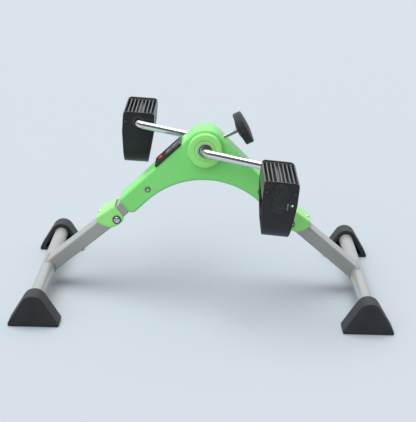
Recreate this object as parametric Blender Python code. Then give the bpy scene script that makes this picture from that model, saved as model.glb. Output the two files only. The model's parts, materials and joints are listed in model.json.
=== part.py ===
"""Folding pedal exerciser: a green two-shell housing on two folding legs, with a bent crank and pedals.

Metres, +Z up, +X along the length, -Y is the front. The origin is on the floor under the crank axle.
"""

import math

import bmesh
import bpy

MM = 0.001

# Clearances
GAP = 0.3 * MM  # air between pieces that touch
RUNNING = 0.35 * MM  # radial clearance of a shaft or screw in its hole
OVERRUN = 5 * MM  # how far a short cutter runs past the wall it cuts
BEYOND = 60 * MM  # a long cutter's reach, past every piece

# Crank
CRANK_HEIGHT = 220 * MM
CRANK_RADIUS = 106 * MM
CRANK_DROP = math.radians(10)  # near arm below the horizontal
ROD_R = 6 * MM
ROD_BEND = 11 * MM
ARM_Y_HUB = 47 * MM
ARM_Y_PEDAL = 56 * MM
DRUM_R = 13.5 * MM
DRUM_HALF = 7 * MM
MAGNET_R = 2 * MM
MAGNET_DEPTH = 2.5 * MM
MAGNET_ORBIT = 10 * MM
ROD_SHORT = 1.5 * MM  # the rod ends this far inside the pedal's end plate

# Housing shells
DOME_R = 30 * MM
ARM_SLOPE = math.radians(43.9)
ARM_DEPTH = 30 * MM
ARM_LENGTH = 149.5 * MM  # from the dome to the arm's end, along the slope
UNDER_R = 122 * MM
SHELL_HALF = 24 * MM
REAR_BULGE = 30 * MM
BULGE_LENGTH = 79 * MM
BULGE_LOW_X = 58 * MM
BULGE_INSET = 0.5 * MM
SHELL_WALL = 2.5 * MM
EDGE_R = 4 * MM
END_TOP_R = 6 * MM
END_LOW_R = 9 * MM

# Hub
HUB_R = 25.4 * MM
HUB_PROUD = 11 * MM
REAR_HUB_PROUD = 6.5 * MM
HUB_BORE = 11 * MM
HUB_SPIGOT = 13.5 * MM
HUB_GROOVE_R = 15 * MM
HUB_GROOVE_DEPTH = 1.5 * MM
HUB_GROOVE_HALF = 1 * MM
HUB_EDGE = 3 * MM
HUB_ROOT = 2 * MM  # how far the spigot reaches inside the shell's wall
BEARING_RECESS = 3 * MM
BEARING_LENGTH = 12 * MM

# Neck tubes and leg tubes: the same 40 x 20 stock
STOCK_WIDTH = 40 * MM
STOCK_HEIGHT = 20 * MM
STOCK_WALL = 1.5 * MM
STOCK_CORNER = 3 * MM
PIVOT_OUT = 21.1 * MM  # pivot beyond the arm's end
PIVOT_DROP = 19.8 * MM  # pivot below the arm's top line
NECK_RISE = 5.2 * MM  # tube centre above the pivot
NECK_TAIL = 6 * MM
NECK_BEYOND_SCREW = 12 * MM
SCREW_FROM_END = 45.3 * MM
SCREW_DROP = 17.1 * MM
SCREW_R = 2 * MM
SCREW_HEAD_R = 4 * MM
SCREW_HEAD = 2 * MM
SCREW_RECESS = 1.5 * MM
RECESS_R = 4.7 * MM
NUT_R = 4 * MM
NUT = 3 * MM

# Legs
CROSS_X = 235 * MM
CROSS_HEIGHT = 28 * MM
CROSS_R = 11 * MM
CROSS_WALL = 1.5 * MM
LEG_RISE = 4.2 * MM
LEG_START = 9 * MM
CAP_WIDTH = 48 * MM
CAP_HINGE_TOP = 19.8 * MM
CAP_FOOT_TOP = 22.9 * MM
CAP_REACH = 30 * MM
CAP_BACK = 10 * MM
CAP_LOW = 8.2 * MM
CAP_HEEL = 1.6 * MM  # how far the low corner leans out behind
CAP_HEEL_R = 9 * MM
CAP_KEEL_X = 18 * MM
CAP_KEEL_R = 22 * MM
CAP_NOSE_R = 7 * MM
CAP_CHAMBER = 17.2 * MM
CAP_STEP = 12 * MM
BOLT_R = 3 * MM
BOLT_HEAD_R = 5 * MM
BOLT_HEAD = 3 * MM
BOLT_NUT_R = 5.8 * MM
BOLT_NUT = 4 * MM
BUTTON_X = 18 * MM
BUTTON_R = 3 * MM
BUTTON_PROUD = 1.5 * MM
BUTTON_EDGE = 0.8 * MM
BUTTON_TRAVEL = 3 * MM
COLLAR_R = 4.6 * MM
COLLAR = 1.5 * MM
SPRING_R = 3 * MM
SPRING_WIRE = 0.45 * MM

# Feet
FOOT_OUTER = 35 * MM  # reach outward from the cross tube
FOOT_INNER = 36.5 * MM
FOOT_APEX_WALL = 6 * MM
FOOT_SOLE = 4 * MM
FOOT_END_WALL = 6 * MM
FOOT_CORNER = 3 * MM
FOOT_DEPTH = 35 * MM
FOOT_FACE_Y = 189 * MM
FOOT_WEB = 5 * MM
FOOT_WEB_ROOT = 1 * MM  # how far the web runs into the end wall
FOOT_WEB_BACK = 2 * MM  # how far it stops short of the mouth
FOOT_CAVITY_IN = 8.5 * MM
FOOT_CAVITY_R = 2 * MM

# Pedals
PEDAL_INNER_Y = 68.6 * MM
PEDAL_OUTER_Y = 190 * MM
PEDAL_WIDTH = 48.5 * MM
PEDAL_TOP = 15.3 * MM
NEAR_TILT = math.radians(4.9)
FAR_TILT = math.radians(2.9)
TREAD_HALF = 13.3 * MM
RIB = 1.7 * MM
RIB_COUNT = 9
WEB = 2 * MM
HUB_TUBE_R = 9 * MM
END_PLATE = 3 * MM
END_PLATE_PROUD = 1 * MM
CLIP_POCKET_R = 8 * MM
CLIP_POCKET = 6 * MM
CLIP_R = 7.4 * MM
CLIP_THICK = 1.2 * MM
STRAP_THICK = 2.5 * MM
STRAP_DROP = 68 * MM
STRAP_LOW_WIDTH = 37 * MM
STRAP_BEND = 28 * MM
TAB_CORNER = 6 * MM
TAB_HOLE_R = 10 * MM
END_CAP_R = 13 * MM
TONGUE_HALF = 10 * MM
TONGUE_DROP = 30 * MM
END_CAP_THICK = 1.5 * MM
PEDAL_SCREW_X = 19.5 * MM
PEDAL_SCREW_R = 1.5 * MM
PEDAL_HEAD_R = 3 * MM
PEDAL_BOSS_R = 3.6 * MM
PEDAL_BOSS_FLOOR = 2 * MM
PEDAL_SCREW_LENGTH = 9 * MM
PEDAL_LEDGE = 1 * MM
PEDAL_HEAD = 1.1 * MM
TAPER_START = -16 * MM
SLIT_X = 11.2 * MM
SLIT_Z = -18.5 * MM
SLIT = (1.4 * MM, 10 * MM)
PEG_HOLE = (17 * MM, -16.5 * MM, 2 * MM)

# Tension control
TENSION_ANGLE = math.radians(27.5)
SHOE_THICK = 3 * MM
SHOE_HALF = 6 * MM
SHOE_SPREAD = math.radians(34)
BLOCK_IN = 21.3 * MM
BLOCK_HALF_X = 7 * MM
BLOCK_HALF_Y = 8 * MM
TENSION_ROD_R = 3 * MM
TENSION_HOLE_R = 4.2 * MM
KNOB_R = 25 * MM
KNOB_CENTRE = 62.6 * MM
KNOB_RIM = 12 * MM
KNOB_CROWN = 2.5 * MM
KNOB_HUB_R = 8 * MM
KNOB_HUB = 3.5 * MM
KNOB_SOCKET = 9 * MM
KNOB_EDGE = 1.5 * MM

# Meter
METER_FROM_DOME = 20.6 * MM
METER_LENGTH = 51.6 * MM
METER_WIDTH = 50 * MM
METER_PLATE = 3.5 * MM
METER_SUNK = 1.2 * MM
METER_CORNER = 3 * MM
METER_ROOF = 2 * MM
METER_BOX_LENGTH = 42 * MM
METER_BOX_WIDTH = 34 * MM
METER_BOX_DEPTH = 10 * MM
METER_WALL = 1.6 * MM
LENS_LENGTH = 22 * MM
LENS_WIDTH = 26 * MM
LENS_SUNK = 0.3 * MM
LENS_X = 7 * MM
METER_BUTTON_X = -15 * MM
METER_BUTTON_LONG = 4.5 * MM
METER_BUTTON_HALF = 3.2 * MM
METER_BUTTON_TRAVEL = 1 * MM
METER_BUTTON_PROUD = 1.5 * MM
METER_BUTTON_FLANGE = 1 * MM  # thickness and overhang of the button's foot
BOARD_DROP = 4.5 * MM
BOARD_THICK = 1.2 * MM
BATTERY_R = 10 * MM
BATTERY_THICK = 2.6 * MM
REED_SIZE = (7 * MM, 13 * MM, 12 * MM)
REED_X = -19 * MM

# Mesh fineness
ROUND = 22
SMALL_ROUND = 8
ROD_SIDES = 14
CORNER_STEP = math.radians(22.5)
ARC_STEP = math.radians(15)
WIDE_ARC_STEP = math.radians(6.5)

# Finishes: colour, roughness, metallic
GREEN = ((0.20, 0.71, 0.20), 0.35, 0.0)
LIME = ((0.32, 0.82, 0.20), 0.35, 0.0)
SILVER = ((0.52, 0.52, 0.51), 0.4, 0.6)
CHROME = ((0.80, 0.80, 0.80), 0.1, 1.0)
STEEL = ((0.55, 0.55, 0.56), 0.3, 1.0)
BLACK = ((0.020, 0.020, 0.023), 0.5, 0.0)
RUBBER = ((0.03, 0.03, 0.033), 0.7, 0.0)
RED = ((0.70, 0.02, 0.02), 0.35, 0.0)
DISPLAY = ((0.10, 0.12, 0.11), 0.1, 0.0)
BOARD = ((0.02, 0.16, 0.06), 0.5, 0.0)


# ---------------------------------------------------------------- outlines

def arc(centre, radius, start, end, step=ARC_STEP):
    """Points on an arc about centre, both ends included."""
    count = max(2, math.ceil(abs(end - start) / step))
    turns = [start + (end - start) * index / count for index in range(count + 1)]
    return [(centre[0] + radius * math.cos(t), centre[1] + radius * math.sin(t)) for t in turns]


def rounded(corners, closed=True):
    """Outline through corners (x, z, radius), each one rounded by its radius."""
    points = []
    for index, (x, z, radius) in enumerate(corners):
        at_end = not closed and index in (0, len(corners) - 1)
        if at_end or radius == 0:
            points.append((x, z))
            continue
        before = corners[index - 1]
        after = corners[(index + 1) % len(corners)]
        back = math.atan2(before[1] - z, before[0] - x)
        ahead = math.atan2(after[1] - z, after[0] - x)
        opening = (ahead - back + math.pi) % (2 * math.pi) - math.pi
        middle = back + opening / 2
        reach = radius / abs(math.sin(opening / 2))
        centre = (x + reach * math.cos(middle), z + reach * math.sin(middle))
        half = math.copysign((math.pi - abs(opening)) / 2, opening)
        step = WIDE_ARC_STEP if radius > 20 * MM else CORNER_STEP
        points += arc(centre, radius, middle + math.pi + half, middle + math.pi - half, step)
    return points


def box_outline(width, height, radius=0.0, centre=(0.0, 0.0)):
    """Rounded rectangle about centre."""
    x, z = width / 2, height / 2
    signs = ((1, 1), (-1, 1), (-1, -1), (1, -1))
    return rounded([(centre[0] + x * a, centre[1] + z * b, radius) for a, b in signs])


def hull_of_circles(circles):
    """Outline round three circles (x, z, radius) given counter-clockwise."""
    points = []
    for index, (x, z, radius) in enumerate(circles):
        last, following = circles[index - 1], circles[(index + 1) % len(circles)]
        start = tangent_normal(last, (x, z, radius))
        end = tangent_normal((x, z, radius), following)
        points += arc((x, z), radius, start, start + (end - start) % (2 * math.pi), CORNER_STEP)
    return points


def tangent_normal(first, second):
    """Direction of the outward normal of the outer tangent between two circles."""
    dx, dz = second[0] - first[0], second[1] - first[1]
    along = math.atan2(dz, dx)
    return along - math.acos((first[2] - second[2]) / math.hypot(dx, dz))


def inset(outline, distance):
    """Move every side of a counter-clockwise outline inward by the distance."""
    moved = []
    for index, (x, z) in enumerate(outline):
        last, following = outline[index - 1], outline[(index + 1) % len(outline)]
        first = math.atan2(z - last[1], x - last[0])
        second = math.atan2(following[1] - z, following[0] - x)
        turn = (second - first + math.pi) % (2 * math.pi) - math.pi
        normal = first + turn / 2 + math.pi / 2
        reach = distance / math.cos(turn / 2)
        moved.append((x + reach * math.cos(normal), z + reach * math.sin(normal)))
    return moved


def arm_end(arm_length):
    """Top corner of the right arm at a distance from the dome."""
    cos, sin = math.cos(ARM_SLOPE), math.sin(ARM_SLOPE)
    return DOME_R * sin + arm_length * cos, CRANK_HEIGHT + DOME_R * cos - arm_length * sin


def body_outline():
    """Housing seen from the front: a dome, two sloping arms and an arched underside."""
    cos, sin = math.cos(ARM_SLOPE), math.sin(ARM_SLOPE)
    end_x, end_z = arm_end(ARM_LENGTH)
    low_x, low_z = end_x - ARM_DEPTH * sin, end_z - ARM_DEPTH * cos
    arch = CRANK_HEIGHT + (DOME_R - ARM_DEPTH) / cos
    corners = [(0.0, CRANK_HEIGHT + DOME_R / cos, DOME_R), (-end_x, end_z, END_TOP_R),
               (-low_x, low_z, END_LOW_R), (0.0, arch, UNDER_R), (low_x, low_z, END_LOW_R),
               (end_x, end_z, END_TOP_R)]
    return rounded(corners)


def bulge_outline():
    """Raised middle of the rear shell, a little inside the housing's outline."""
    cos = math.cos(ARM_SLOPE)
    end_x, end_z = arm_end(BULGE_LENGTH)
    centre = (0.0, CRANK_HEIGHT + (DOME_R - ARM_DEPTH - UNDER_R) / cos)
    half = math.asin(BULGE_LOW_X / UNDER_R)
    under = arc(centre, UNDER_R, math.pi / 2 + half, math.pi / 2 - half, WIDE_ARC_STEP)
    corners = [(0.0, CRANK_HEIGHT + DOME_R / cos, DOME_R), (-end_x, end_z, END_TOP_R)]
    corners += [(x, z, 0.0) for x, z in under] + [(end_x, end_z, END_TOP_R)]
    return inset(rounded(corners), BULGE_INSET)


# ---------------------------------------------------------------- solids

def loft(rings, closed=False):
    """Skin equally long rings of 3-D points, capped at both ends or closed on itself."""
    solid = bmesh.new()
    loops = [[solid.verts.new(point) for point in ring] for ring in rings]
    pairs = list(zip(loops, loops[1:]))
    if closed:
        pairs.append((loops[-1], loops[0]))
    else:
        solid.faces.new(list(reversed(loops[0])))
        solid.faces.new(loops[-1])
    for low, high in pairs:
        for index in range(len(low)):
            after = (index + 1) % len(low)
            solid.faces.new((low[index], low[after], high[after], high[index]))
    return solid


def at_y(outline, y):
    """Outline of (x, z) points standing across Y."""
    return [(x, y, z) for x, z in outline]


def at_z(outline, z):
    """Outline of (x, y) points lying flat."""
    return [(x, y, z) for x, y in outline]


def at_x(outline, x):
    """Outline of (y, z) points standing across X."""
    return [(x, y, z) for y, z in outline]


def prism(outline, low, high, ring_at=at_y):
    """Straight solid of an outline from low to high along the axis of ring_at."""
    return loft([ring_at(outline, low), ring_at(outline, high)])


def sleeve(outer, inner, low, high, ring_at):
    """Open-ended tube between two outlines."""
    rings = [ring_at(outer, low), ring_at(outer, high), ring_at(inner, high), ring_at(inner, low)]
    return loft(rings, closed=True)


def turned(profile, segments=ROUND, ring=False):
    """Turn a profile of (radius, height) points about Z; ring closes it on itself."""
    solid = bmesh.new()
    points = [solid.verts.new((radius, 0.0, height)) for radius, height in profile]
    edges = [solid.edges.new(pair) for pair in zip(points, points[1:])]
    if ring:
        edges.append(solid.edges.new((points[-1], points[0])))
    bmesh.ops.spin(solid, geom=points + edges, cent=(0, 0, 0), axis=(0, 0, 1),
                   angle=2 * math.pi, steps=segments, use_merge=True)
    bmesh.ops.remove_doubles(solid, verts=solid.verts[:], dist=1e-6)
    return solid


def along_y(solid, y=1):
    """Lay a turned solid along Y, with its height pointing to +Y or, with y=-1, to -Y."""
    for vert in solid.verts:
        x, across, height = vert.co
        vert.co = (x, y * height, across)
    return solid


def shifted(solid, x=0.0, y=0.0, z=0.0):
    """The same solid, moved."""
    bmesh.ops.translate(solid, vec=(x, y, z), verts=solid.verts[:])
    return solid


def disc(radius, low, high, segments=ROUND):
    """Solid cylinder along Z."""
    return turned([(0.0, low), (radius, low), (radius, high), (0.0, high)], segments)


def pipe(outer, inner, low, high, segments=ROUND):
    """Round tube along Z."""
    return turned([(inner, low), (outer, low), (outer, high), (inner, high)], segments, ring=True)


def screw(shank_r, shank, head_r, head):
    """Screw along Z: the underside of its head is at 0 and its head is above, with a dimple in it."""
    return turned([(0.0, -shank), (shank_r, -shank), (shank_r, 0.0), (head_r, 0.0),
                   (head_r, head * 0.6), (head_r * 0.75, head), (head_r * 0.3, head),
                   (head_r * 0.3, head * 0.4), (0.0, head * 0.4)], SMALL_ROUND)


def swept(path, normals, radius, sides):
    """Round bar along a path; normals are unit vectors across the path."""
    rings = []
    for index, point in enumerate(path):
        last, following = path[max(index - 1, 0)], path[min(index + 1, len(path) - 1)]
        along = [b - a for a, b in zip(last, following)]
        length = math.hypot(*along)
        along = [part / length for part in along]
        up = normals[index]
        side = (along[1] * up[2] - along[2] * up[1], along[2] * up[0] - along[0] * up[2],
                along[0] * up[1] - along[1] * up[0])
        turns = [2 * math.pi * step / sides for step in range(sides)]
        rings.append([tuple(p + radius * (math.cos(t) * u + math.sin(t) * s)
                            for p, u, s in zip(point, up, side)) for t in turns])
    return loft(rings)


# ---------------------------------------------------------------- objects

def clear_scene():
    """Start from an empty file."""
    for item in list(bpy.data.objects):
        bpy.data.objects.remove(item, do_unlink=True)


def empty(name, location=(0, 0, 0), rotation=(0, 0, 0), parent=None):
    """Axis marker that carries the pieces of one moving body."""
    marker = bpy.data.objects.new(name, None)
    bpy.context.collection.objects.link(marker)
    marker.location = location
    marker.rotation_euler = rotation
    marker.parent = parent
    marker.empty_display_size = 0.02
    return marker


def mesh_object(name, solid, parent):
    """Turn a bmesh solid into an object under its parent."""
    bmesh.ops.recalc_face_normals(solid, faces=solid.faces[:])
    mesh = bpy.data.meshes.new(name)
    solid.to_mesh(mesh)
    solid.free()
    item = bpy.data.objects.new(name, mesh)
    bpy.context.collection.objects.link(item)
    item.parent = parent
    return item


def piece(name, solid, finish, parent=None):
    """One physical piece with its own material."""
    item = mesh_object(name, solid, parent)
    item.data.shade_smooth()
    item.data.set_sharp_from_angle(angle=math.radians(32))
    colour, roughness, metallic = finish
    material = bpy.data.materials.new(name)
    material.use_nodes = True
    shader = material.node_tree.nodes["Principled BSDF"]
    shader.inputs["Base Color"].default_value = (*colour, 1.0)
    shader.inputs["Roughness"].default_value = roughness
    shader.inputs["Metallic"].default_value = metallic
    item.data.materials.append(material)
    return item


def tool(name, solid, parent=None):
    """Cutter or filler for a Boolean, left out of the model itself."""
    item = mesh_object(name, solid, parent)
    item.hide_render = True
    item.display_type = "WIRE"
    return item


def apply_tool(item, cutter, operation="DIFFERENCE"):
    """Cut or join a tool with a Boolean modifier."""
    modifier = item.modifiers.new(cutter.name, "BOOLEAN")
    modifier.operation = operation
    modifier.solver = "EXACT"
    modifier.object = cutter


# ---------------------------------------------------------------- places worked out from the sizes

COS, SIN = math.cos(ARM_SLOPE), math.sin(ARM_SLOPE)
DOME_END = (DOME_R * SIN, CRANK_HEIGHT + DOME_R * COS)  # where the dome meets the right slope
REACH_X = ARM_LENGTH + PIVOT_OUT
PIVOT = (DOME_END[0] + REACH_X * COS - PIVOT_DROP * SIN,
         DOME_END[1] - REACH_X * SIN - PIVOT_DROP * COS)
CROSS = (CROSS_X - PIVOT[0], CROSS_HEIGHT - PIVOT[1])  # cross tube seen from the right pivot
CROSS_AWAY = math.hypot(*CROSS)
LEG_ANGLE = math.atan2(-CROSS[1], CROSS[0]) + math.asin(LEG_RISE / CROSS_AWAY)
LEG_LENGTH = math.sqrt(CROSS_AWAY ** 2 - LEG_RISE ** 2)
LEG_TOP = LEG_RISE + STOCK_HEIGHT / 2
SHELL_SCREW = (-PIVOT_OUT - SCREW_FROM_END, PIVOT_DROP - SCREW_DROP)  # in the arm's own frame
STRAP_OUT = PEDAL_OUTER_Y - END_CAP_THICK - GAP
CORE_OUT = STRAP_OUT - STRAP_THICK - GAP
CORE_IN = PEDAL_INNER_Y + STRAP_THICK + GAP
SHOE_OUT = DRUM_R + GAP + SHOE_THICK
KNOB_LOW = KNOB_CENTRE - KNOB_RIM / 2 - KNOB_HUB
SIDES = (("right", 0.0, -1), ("left", math.pi, 1))  # name, half turn, local side of the front


def stock_outline(shrink, height):
    """Section (y, z) of the rectangular tube, its centre at the given height."""
    corner = STOCK_CORNER - shrink
    return box_outline(STOCK_WIDTH - 2 * shrink, STOCK_HEIGHT - 2 * shrink, corner, (0.0, height))


def cross_hole(radius, x, z, segments=SMALL_ROUND):
    """Round cutter along Y."""
    return shifted(along_y(disc(radius, -BEYOND, BEYOND, segments)), x, 0.0, z)


# ---------------------------------------------------------------- housing

def edge_levels(depth):
    """(inset, depth) steps of a rounded edge, from the flat face to the side wall."""
    turns = [math.pi / 2 * step / 2 for step in range(3)]
    return [(EDGE_R * (1 - math.sin(t)), depth - EDGE_R * (1 - math.cos(t))) for t in turns]


def shell_solid(front):
    """Tray with a rounded outer edge, open at the split plane."""
    outline = body_outline()
    levels = edge_levels(SHELL_HALF)
    levels += [(0.0, GAP / 2), (SHELL_WALL, GAP / 2), (SHELL_WALL, SHELL_HALF - SHELL_WALL)]
    return loft([at_y(inset(outline, inward), front * depth) for inward, depth in levels])


def bulge_tools():
    """Filler and hollow of the raised middle of the rear shell."""
    outline = bulge_outline()
    levels = edge_levels(REAR_BULGE) + [(0.0, SHELL_HALF - EDGE_R - 1 * MM)]
    filler = loft([at_y(inset(outline, inward), depth) for inward, depth in levels])
    hollow = prism(inset(outline, SHELL_WALL), SHELL_HALF - 2 * SHELL_WALL, REAR_BULGE - SHELL_WALL)
    return tool("bulge_filler", filler), tool("bulge_hollow", hollow)


def screw_recess(name, arm):
    """Shell-screw hole with a recess for the head in front and for the nut behind."""
    deep, thin = SHELL_HALF - SCREW_RECESS, SCREW_R + RUNNING
    profile = [(0.0, -BEYOND), (RECESS_R, -BEYOND), (RECESS_R, -deep), (thin, -deep),
               (thin, deep), (RECESS_R, deep), (RECESS_R, BEYOND), (0.0, BEYOND)]
    solid = shifted(along_y(turned(profile, SMALL_ROUND)), SHELL_SCREW[0], 0.0, SHELL_SCREW[1])
    return tool(name, solid, arm)


def build_shells(arms, meter_frame, tension_axis):
    """Both housing shells, with their openings for the hub, tubes, meter and tension screw."""
    front = piece("front_shell", shell_solid(-1), GREEN)
    rear = piece("rear_shell", shell_solid(1), GREEN)
    filler, hollow = bulge_tools()
    apply_tool(rear, filler, "UNION")
    apply_tool(rear, hollow)
    shared = [tool("hub_hole", cross_hole(HUB_SPIGOT + GAP, 0.0, CRANK_HEIGHT, segments=ROUND))]
    for side, arm in arms.items():
        window = box_outline(STOCK_WIDTH + 4 * GAP, STOCK_HEIGHT + 2 * GAP, 0.0, (0.0, NECK_RISE))
        solid = prism(window, -PIVOT_OUT - 3 * SHELL_WALL, -PIVOT_OUT + SHELL_WALL, at_x)
        shared.append(tool(f"{side}_neck_window", solid, arm))
        shared.append(screw_recess(f"{side}_screw_recess", arm))
    seat = box_outline(METER_LENGTH + 2 * GAP, 3 * SHELL_HALF)
    shared.append(tool("meter_seat", prism(seat, -METER_SUNK, 3 * EDGE_R, at_z), meter_frame))
    window = box_outline(METER_BOX_LENGTH + 2 * GAP, METER_BOX_WIDTH + 2 * GAP)
    shared.append(tool("meter_window", prism(window, -2 * SHELL_WALL, EDGE_R, at_z), meter_frame))
    hole = disc(TENSION_HOLE_R, BLOCK_IN, KNOB_LOW, SMALL_ROUND)
    shared.append(tool("tension_hole", hole, tension_axis))
    for cutter in shared:
        apply_tool(front, cutter)
        apply_tool(rear, cutter)


def build_hub(side, front, face, proud):
    """Lime ring round the axle and the bearing in its bore."""
    top, seat = face + proud, face + GAP
    root = face - SHELL_WALL - HUB_ROOT
    profile = [(HUB_BORE, root), (HUB_SPIGOT, root), (HUB_SPIGOT, seat), (HUB_R, seat),
               (HUB_R, top - HUB_EDGE), (HUB_R - HUB_EDGE * 0.3, top - HUB_EDGE * 0.3),
               (HUB_R - HUB_EDGE, top), (HUB_GROOVE_R + HUB_GROOVE_HALF, top),
               (HUB_GROOVE_R, top - HUB_GROOVE_DEPTH), (HUB_GROOVE_R - HUB_GROOVE_HALF, top),
               (HUB_BORE, top)]
    ring = shifted(along_y(turned(profile, ring=True), front), z=CRANK_HEIGHT)
    piece(f"{side}_hub_ring", ring, LIME)
    high = top - BEARING_RECESS
    bush = pipe(HUB_BORE - GAP, ROD_R + RUNNING, high - BEARING_LENGTH, high)
    piece(f"{side}_bearing", shifted(along_y(bush, front), z=CRANK_HEIGHT), STEEL)


def build_neck(side, arm, front):
    """Neck tube held in the arm by one screw, with the screw and its nut."""
    inner = SHELL_SCREW[0] - NECK_BEYOND_SCREW
    tube = sleeve(stock_outline(0.0, NECK_RISE), stock_outline(STOCK_WALL, NECK_RISE),
                  inner, NECK_TAIL, at_x)
    neck = piece(f"{side}_neck_tube", tube, SILVER, arm)
    pivot_hole = cross_hole(BOLT_R + RUNNING, 0.0, 0.0, segments=ROUND)
    apply_tool(neck, tool(f"{side}_neck_pivot_hole", pivot_hole, arm))
    apply_tool(neck, tool(f"{side}_neck_screw_hole", cross_hole(SCREW_R + RUNNING, *SHELL_SCREW), arm))
    face = SHELL_HALF - SCREW_RECESS + GAP
    shank = 2 * face + NUT
    bolt = along_y(screw(SCREW_R, shank, SCREW_HEAD_R, SCREW_HEAD), front)
    bolt = shifted(bolt, SHELL_SCREW[0], front * face, SHELL_SCREW[1])
    piece(f"{side}_shell_screw", bolt, CHROME, arm)
    bore = (SCREW_R + RUNNING) / math.cos(math.pi / 6)
    nut = along_y(pipe(NUT_R, bore, face, face + NUT, 6), -front)
    piece(f"{side}_shell_nut", shifted(nut, SHELL_SCREW[0], 0.0, SHELL_SCREW[1]), STEEL, arm)


# ---------------------------------------------------------------- crank and pedals

def build_crank(crank_axis):
    """One rod bent four times, with the brake drum and the meter's magnet."""
    end = CORE_OUT - ROD_SHORT
    corners = [(-CRANK_RADIUS, end, 0.0), (-CRANK_RADIUS, ARM_Y_PEDAL, ROD_BEND),
               (0.0, ARM_Y_HUB, ROD_BEND), (0.0, -ARM_Y_HUB, ROD_BEND),
               (CRANK_RADIUS, -ARM_Y_PEDAL, ROD_BEND), (CRANK_RADIUS, -end, 0.0)]
    path = [(x, y, 0.0) for x, y in rounded(corners, closed=False)]
    rod = swept(path, [(0.0, 0.0, 1.0)] * len(path), ROD_R, ROD_SIDES)
    piece("crank_rod", rod, CHROME, crank_axis)
    drum = along_y(pipe(DRUM_R, ROD_R + GAP, -DRUM_HALF, DRUM_HALF))
    drum = piece("friction_drum", drum, STEEL, crank_axis)
    pocket = along_y(disc(MAGNET_R + GAP, DRUM_HALF - MAGNET_DEPTH, 2 * DRUM_HALF, SMALL_ROUND), -1)
    apply_tool(drum, tool("magnet_pocket", shifted(pocket, x=-MAGNET_ORBIT), crank_axis))
    low = DRUM_HALF - MAGNET_DEPTH + GAP
    magnet = along_y(disc(MAGNET_R, low, DRUM_HALF, SMALL_ROUND), -1)
    piece("crank_magnet", shifted(magnet, x=-MAGNET_ORBIT), CHROME, crank_axis)
    for side, turn in (("near", 1), ("far", -1)):
        low = CORE_OUT - CLIP_POCKET + 2 * GAP
        clip = along_y(pipe(CLIP_R, ROD_R + RUNNING, low, low + CLIP_THICK), -turn)
        piece(f"{side}_spindle_clip", shifted(clip, x=turn * CRANK_RADIUS), STEEL, crank_axis)


def comb_outline():
    """Section of the tread: upright ribs above and below a flat web."""
    width = PEDAL_WIDTH - 2 * GAP
    pitch = (width - RIB) / (RIB_COUNT - 1)
    top = []
    for index in range(RIB_COUNT):
        left = -width / 2 + index * pitch
        top += [(left, WEB / 2), (left, TREAD_HALF), (left + RIB, TREAD_HALF), (left + RIB, WEB / 2)]
    top = top[1:-1]
    return [(x, -z) for x, z in top] + list(reversed(top))


def build_tread(side, axis):
    """Ribbed pedal body with the spindle's bore and four screw bosses."""
    low, high = CORE_IN + END_PLATE_PROUD, CORE_OUT - END_PLATE_PROUD
    core = piece(f"{side}_pedal_core", prism(comb_outline(), -high, -low), BLACK, axis)
    plate = box_outline(PEDAL_WIDTH, 2 * TREAD_HALF + 2 * GAP, TAB_CORNER)
    fillers = [prism(plate, -CORE_OUT, -CORE_OUT + END_PLATE),
               prism(plate, -CORE_IN - END_PLATE, -CORE_IN),
               along_y(disc(HUB_TUBE_R, low, high), -1)]
    boss = PEDAL_SCREW_LENGTH + PEDAL_BOSS_FLOOR
    spans = ((low, CORE_IN + boss, CORE_IN), (CORE_OUT - boss, high, CORE_OUT))
    cutters = [along_y(turned([(0.0, 0.0), (ROD_R + RUNNING, 0.0),
                               (ROD_R + RUNNING, CORE_OUT - CLIP_POCKET),
                               (CLIP_POCKET_R, CORE_OUT - CLIP_POCKET),
                               (CLIP_POCKET_R, 2 * CORE_OUT), (0.0, 2 * CORE_OUT)]), -1)]
    for x in (-PEDAL_SCREW_X, PEDAL_SCREW_X):
        for start, stop, face in spans:
            fillers.append(shifted(along_y(disc(PEDAL_BOSS_R, start, stop, SMALL_ROUND), -1), x))
            hole = disc(PEDAL_SCREW_R + RUNNING, face - PEDAL_SCREW_LENGTH,
                        face + PEDAL_SCREW_LENGTH, SMALL_ROUND)
            cutters.append(shifted(along_y(hole, -1), x))
    for index, filler in enumerate(fillers):
        apply_tool(core, tool(f"{side}_tread_filler_{index}", filler, axis), "UNION")
    for index, cutter in enumerate(cutters):
        apply_tool(core, tool(f"{side}_tread_cutter_{index}", cutter, axis))


def strap_stations():
    """(y, z, half width) along the loop's middle, from the outer tab's top to the inner tab's top."""
    outer, inner = -STRAP_OUT + STRAP_THICK / 2, -PEDAL_INNER_Y - STRAP_THICK / 2
    low = -STRAP_DROP + STRAP_THICK / 2
    half = PEDAL_WIDTH / 2
    turns = [math.pi / 2 * step / 3 for step in range(3, -1, -1)]
    tab = [(PEDAL_TOP - TAB_CORNER * (1 - math.sin(t)), half - TAB_CORNER * (1 - math.cos(t)))
           for t in turns]
    tab.append((TAPER_START, half))
    loop = rounded([(outer, 0.0, 0.0), (outer, low, STRAP_BEND), (inner, low, STRAP_BEND),
                    (inner, 0.0, 0.0)], closed=False)[1:-1]
    narrowing = (half - STRAP_LOW_WIDTH / 2) / (TAPER_START - low)
    down = [(outer, z, width) for z, width in tab]
    under = [(y, z, half - narrowing * (TAPER_START - z)) for y, z in loop]
    up = [(inner, z, width) for z, width in reversed(tab)]
    return down + under + up


def strap_solid():
    """Flat strap swept round the loop."""
    stations = strap_stations()
    rings = []
    for index, (y, z, half) in enumerate(stations):
        last, following = stations[max(index - 1, 0)], stations[min(index + 1, len(stations) - 1)]
        dy, dz = following[0] - last[0], following[1] - last[1]
        across = STRAP_THICK / 2 / math.hypot(dy, dz)
        ny, nz = -dz * across, dy * across
        rings.append([(-half, y - ny, z - nz), (half, y - ny, z - nz),
                      (half, y + ny, z + nz), (-half, y + ny, z + nz)])
    return loft(rings)


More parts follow.
